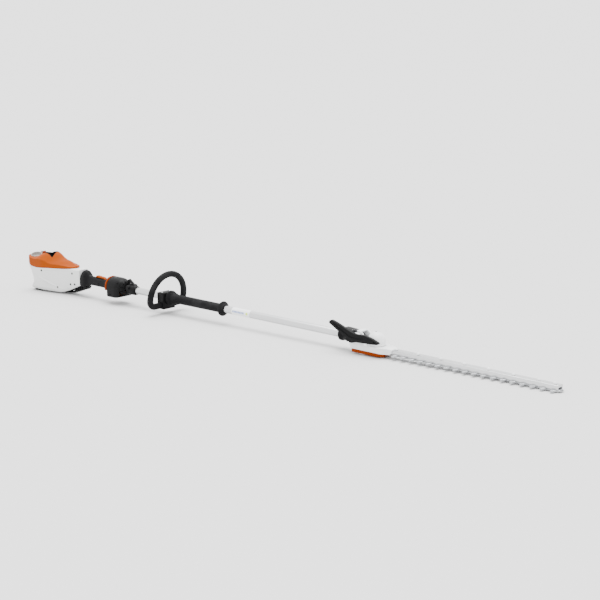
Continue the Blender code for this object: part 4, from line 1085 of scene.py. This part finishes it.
# %% Hose grip and its flange
HOSE_START, HOSE_END = own_box("grip_hose")[0].x, own_box("grip_hose")[1].x
bore = TUBE_RADIUS + 0.0003
swell = [(HOSE_START, bore), (HOSE_START, 0.0235), (0.8545, 0.0272), (0.8575, 0.0284), (0.8605, 0.0283),
         (0.8635, 0.0265), (0.8655, 0.0230), (0.8690, 0.0217), (0.8740, 0.0216), (0.8790, 0.0219), (0.8830, 0.0212),
         (0.8865, 0.0192), (0.8900, 0.0178), (0.9150, 0.0175)]
hose = turned("hose_grip", swell + [(HOSE_END - 0.006, 0.0170), (HOSE_END, 0.0164), (HOSE_END, bore)], steps=120,
              soft=0.0012)
placed(hose, black_rubber, "pole_unit", ["grip_hose"], angle=50)
disc_start = own_box("hose_end_disc")[0].x
flange = turned("hose_flange", [
    (disc_start, bore), (disc_start, 0.0245), (disc_start + 0.0015, 0.0275), (disc_start + 0.0040, 0.0282),
    (disc_start + 0.0070, 0.0272), (disc_start + 0.0095, 0.0240), (disc_start + 0.0130, 0.0205),
    (disc_start + 0.0190, 0.0172), (disc_start + 0.0196, bore)], steps=120, soft=0.0010)
placed(flange, black_rubber, "pole_unit", ["hose_end_disc"], angle=50)

# %% [markdown]
# ## The swivelling head
# The head hangs on a pin between two cheeks. A sleeve slides along the tube to lock it in a notched quadrant, and
# a long curved lever on its right side swings it. The gears run under a round dome, and the whole casting is
# painted light grey, with an orange skid below it.

# %% Lock, lever and castings
rounded_copy("locking_sleeve", 0.0006)
rounded_copy("locking_quadrant", 0.0003)
rounded_copy("pivot_bracket", 0.0008)
rounded_copy("pivot_pin", 0.0004)
rounded_copy("gearbox_housing", 0.0012, 3)

latch_line = softened([(1.7260, 0.0225), (1.7300, 0.0245), (1.7570, 0.0238), (1.7790, 0.0215), (1.7790, 0.0184),
                       (1.7560, 0.0184), (1.7500, 0.0226), (1.7280, 0.0215)], 0.0010)
latch_cover = flat("latch_cover", latch_line, 0.036, "XZ", (0, 0, 0), 0.0010, 3)
placed(latch_cover, black_plastic, "pole_unit", angle=40)

LEVER_LOW, LEVER_HIGH = own_box("adjusting_lever")


def curved_lever():
    outline = [(1.6960, 0.0430), (1.6985, 0.0505), (1.7060, 0.0548), (1.7260, 0.0495), (1.7480, 0.0420),
               (1.7700, 0.0340), (1.7900, 0.0270), (1.8120, 0.0212), (1.8300, 0.0224), (1.8480, 0.0232),
               (1.8700, 0.0195), (1.8950, 0.0118), (1.9060, 0.0072), (1.9085, 0.0030), (1.9020, -0.0002),
               (1.8700, -0.0028), (1.8100, -0.0060), (1.7960, -0.0110), (1.7850, -0.0110), (1.7800, -0.0030),
               (1.7560, 0.0105), (1.7340, 0.0225)]
    middle = (0, (LEVER_LOW.y + LEVER_HIGH.y) / 2, 0)
    piece = flat("tilt_lever", softened(outline, 0.020, 5), LEVER_HIGH.y - LEVER_LOW.y, "XZ", middle, 0.0030, 4)
    eyelet = flat("eyelet", ellipse(1.8915, 0.0060, 0.0042, 0.0030, 32), 0.1, "XZ", middle, 0)
    recess_outline = softened([(1.7080, 0.0475), (1.7900, 0.0185), (1.8120, 0.0130), (1.8450, 0.0150),
                               (1.8450, 0.0080), (1.8100, 0.0050), (1.7860, 0.0080), (1.7400, 0.0300)], 0.004, 4)
    recess = flat("recess", recess_outline, 0.004, "XZ", (0, LEVER_LOW.y, 0), 0)
    return carved(piece, eyelet, recess)


placed(curved_lever(), black_plastic, "head", ["adjusting_lever"], angle=40)

# %% Dome
DOME_LOW, DOME_HIGH = own_box("gearbox_dome")
CRANK = (DOME_LOW.x + DOME_HIGH.x) / 2
dome = turned("gear_dome", [
    (0.0285, 0.0), (0.0280, 0.0050), (0.0255, 0.0125), (0.0195, 0.0200), (0.0110, 0.0255), (0.0020, 0.0280),
    (-0.0080, 0.0288), (-0.0130, 0.0288), (-0.0130, 0.0315), (-0.0100, 0.0315), (-0.0085, 0.0300), (-0.0020, 0.0305),
    (0.0020, 0.0305), (0.0070, 0.0296), (0.0120, 0.0280), (0.0168, 0.0256), (0.0210, 0.0225), (0.0247, 0.0187),
    (0.0275, 0.0145), (0.0295, 0.0102), (0.0308, 0.0055), (0.0315, 0.0)], "Z", (CRANK, 0, 0), 96, 0.0010)
carved(dome, rod("spindle_way", (1.80, 0, 0), (CRANK, 0, 0), 0.0113))
placed(dome, gearbox_paint, "head", ["gearbox_dome"], angle=45)

# %% [markdown]
# ## The cutting bar
# Two steel blades with teeth on both sides slide against each other under an aluminium guide bar. Studs through
# long slots hold them together. The teeth are ground to an edge, so their rims are bevelled more than the rest.

# %% Bar, blades, studs and skid
rounded_copy("guide_bar", 0.0005)
for blade in ("upper_blade", "lower_blade"):
    rounded_copy(blade, 0.0007, 1)
for number in range(1, 9):
    rounded_copy(f"blade_bolt_{number}", 0.0003, material=gearbox_paint)
# The skid takes the darker orange: painted shade for the underside of the head.
rounded_copy("wear_plate", 0.0008, material=painted_shade_orange_plastic)

# %% [markdown]
# ## Screws
# The casings are held by screws with a pan head and a six-sided socket. One is turned and cut once, then copied to
# each place, with its head's underside just sunk into the casing.

# %% Screws
SCREW_RADIUS, SCREW_HEAD = 0.0032, 0.0016
pattern_screw = turned("pattern_screw", [(-0.0020, 0.0), (-0.0020, 0.0018), (0.0, 0.0018), (0.0, SCREW_RADIUS),
                                         (0.0009, SCREW_RADIUS), (SCREW_HEAD, 0.0022), (SCREW_HEAD, 0.0)], "Z",
                       (0, 0, 0), 32, 0.0003)
carved(pattern_screw, rod("socket", (0, 0, 0.0006), (0, 0, 0.01), 0.0013, 6))


def screw(name, place, direction, material, body, scale=1.0):
    """A copy of the screw, with its head facing a direction."""
    piece = pattern_screw.copy()
    piece.data = pattern_screw.data.copy()
    piece.name = name
    bpy.context.scene.collection.objects.link(piece)
    turn = Vector(direction).to_track_quat("Z", "X").to_matrix().to_4x4()
    piece.data.transform(Matrix.Translation(Vector(place)) @ turn @ Matrix.Scale(scale, 4))
    return placed(piece, material, body)


CASING_SCREWS = [(0.104, 0.0200), (0.190, -0.0440), (0.261, -0.0245), (0.287, -0.0215), (0.2734, 0.0232)]
for side, side_name in ((-1, "right"), (1, "left")):
    for number, (x, z) in enumerate(CASING_SCREWS, 1):
        screw(f"casing_screw_{side_name}_{number}", (x, side * (half_width(x) - 0.0006), z), (0, side, 0), black_plastic,
              "pole_unit", 1.35)
    screw(f"handle_screw_{side_name}_1", (0.344, side * 0.0220, 0.0205), (0, side, 0), black_plastic, "pole_unit",
          0.9)
    screw(f"motor_screw_{side_name}_1", (0.572, side * 0.0315, 0.024), (0, side, 0), black_plastic, "pole_unit")
    screw(f"clamp_screw_{side_name}_1", (0.8275, side * 0.0195, 0.0205), (0, 0, 1), blade_steel, "pole_unit",
          1.1)
screw("dome_screw", (CRANK - 0.002, 0.0, 0.0312), (0, 0, 1), dark_steel, "head", 0.9)
bpy.data.objects.remove(pattern_screw)

# %% [markdown]
# ## The floor
# A plain pale sheet carries the shadow. It isn't part of the object. The machine rests on its rear pads and on the
# last stud of its bar, so the sheet tilts a little to touch both.

# %% Floor


def pale_floor():
    finish = Finish("pale_floor", (0.57, 0.57, 0.57), 0.75)
    finish.constant("Specular IOR Level", 0.0)
    finish.vary("Roughness", 0.70 + 0.10 * finish.noise(3.0))
    return finish.material


bpy.ops.object.select_all(action="DESELECT")
bpy.ops.mesh.primitive_plane_add(size=900.0, location=(0, 0, 0))
floor = bpy.context.object
floor.name = "studio_floor"
rear_foot = Vector((0.054, 0.0, own_box("rear_rest_pad")[0].z - 0.0003))
front_foot = Vector((own_box("blade_bolt_8")[1].x, 0.0, own_box("blade_bolt_8")[0].z - 0.0006))
slope = math.atan2(front_foot.z - rear_foot.z, front_foot.x - rear_foot.x)
floor.data.transform(Matrix.Translation(TO_FRAME + rear_foot) @ Matrix.Rotation(-slope, 4, "Y"))
floor.data.materials.append(pale_floor())
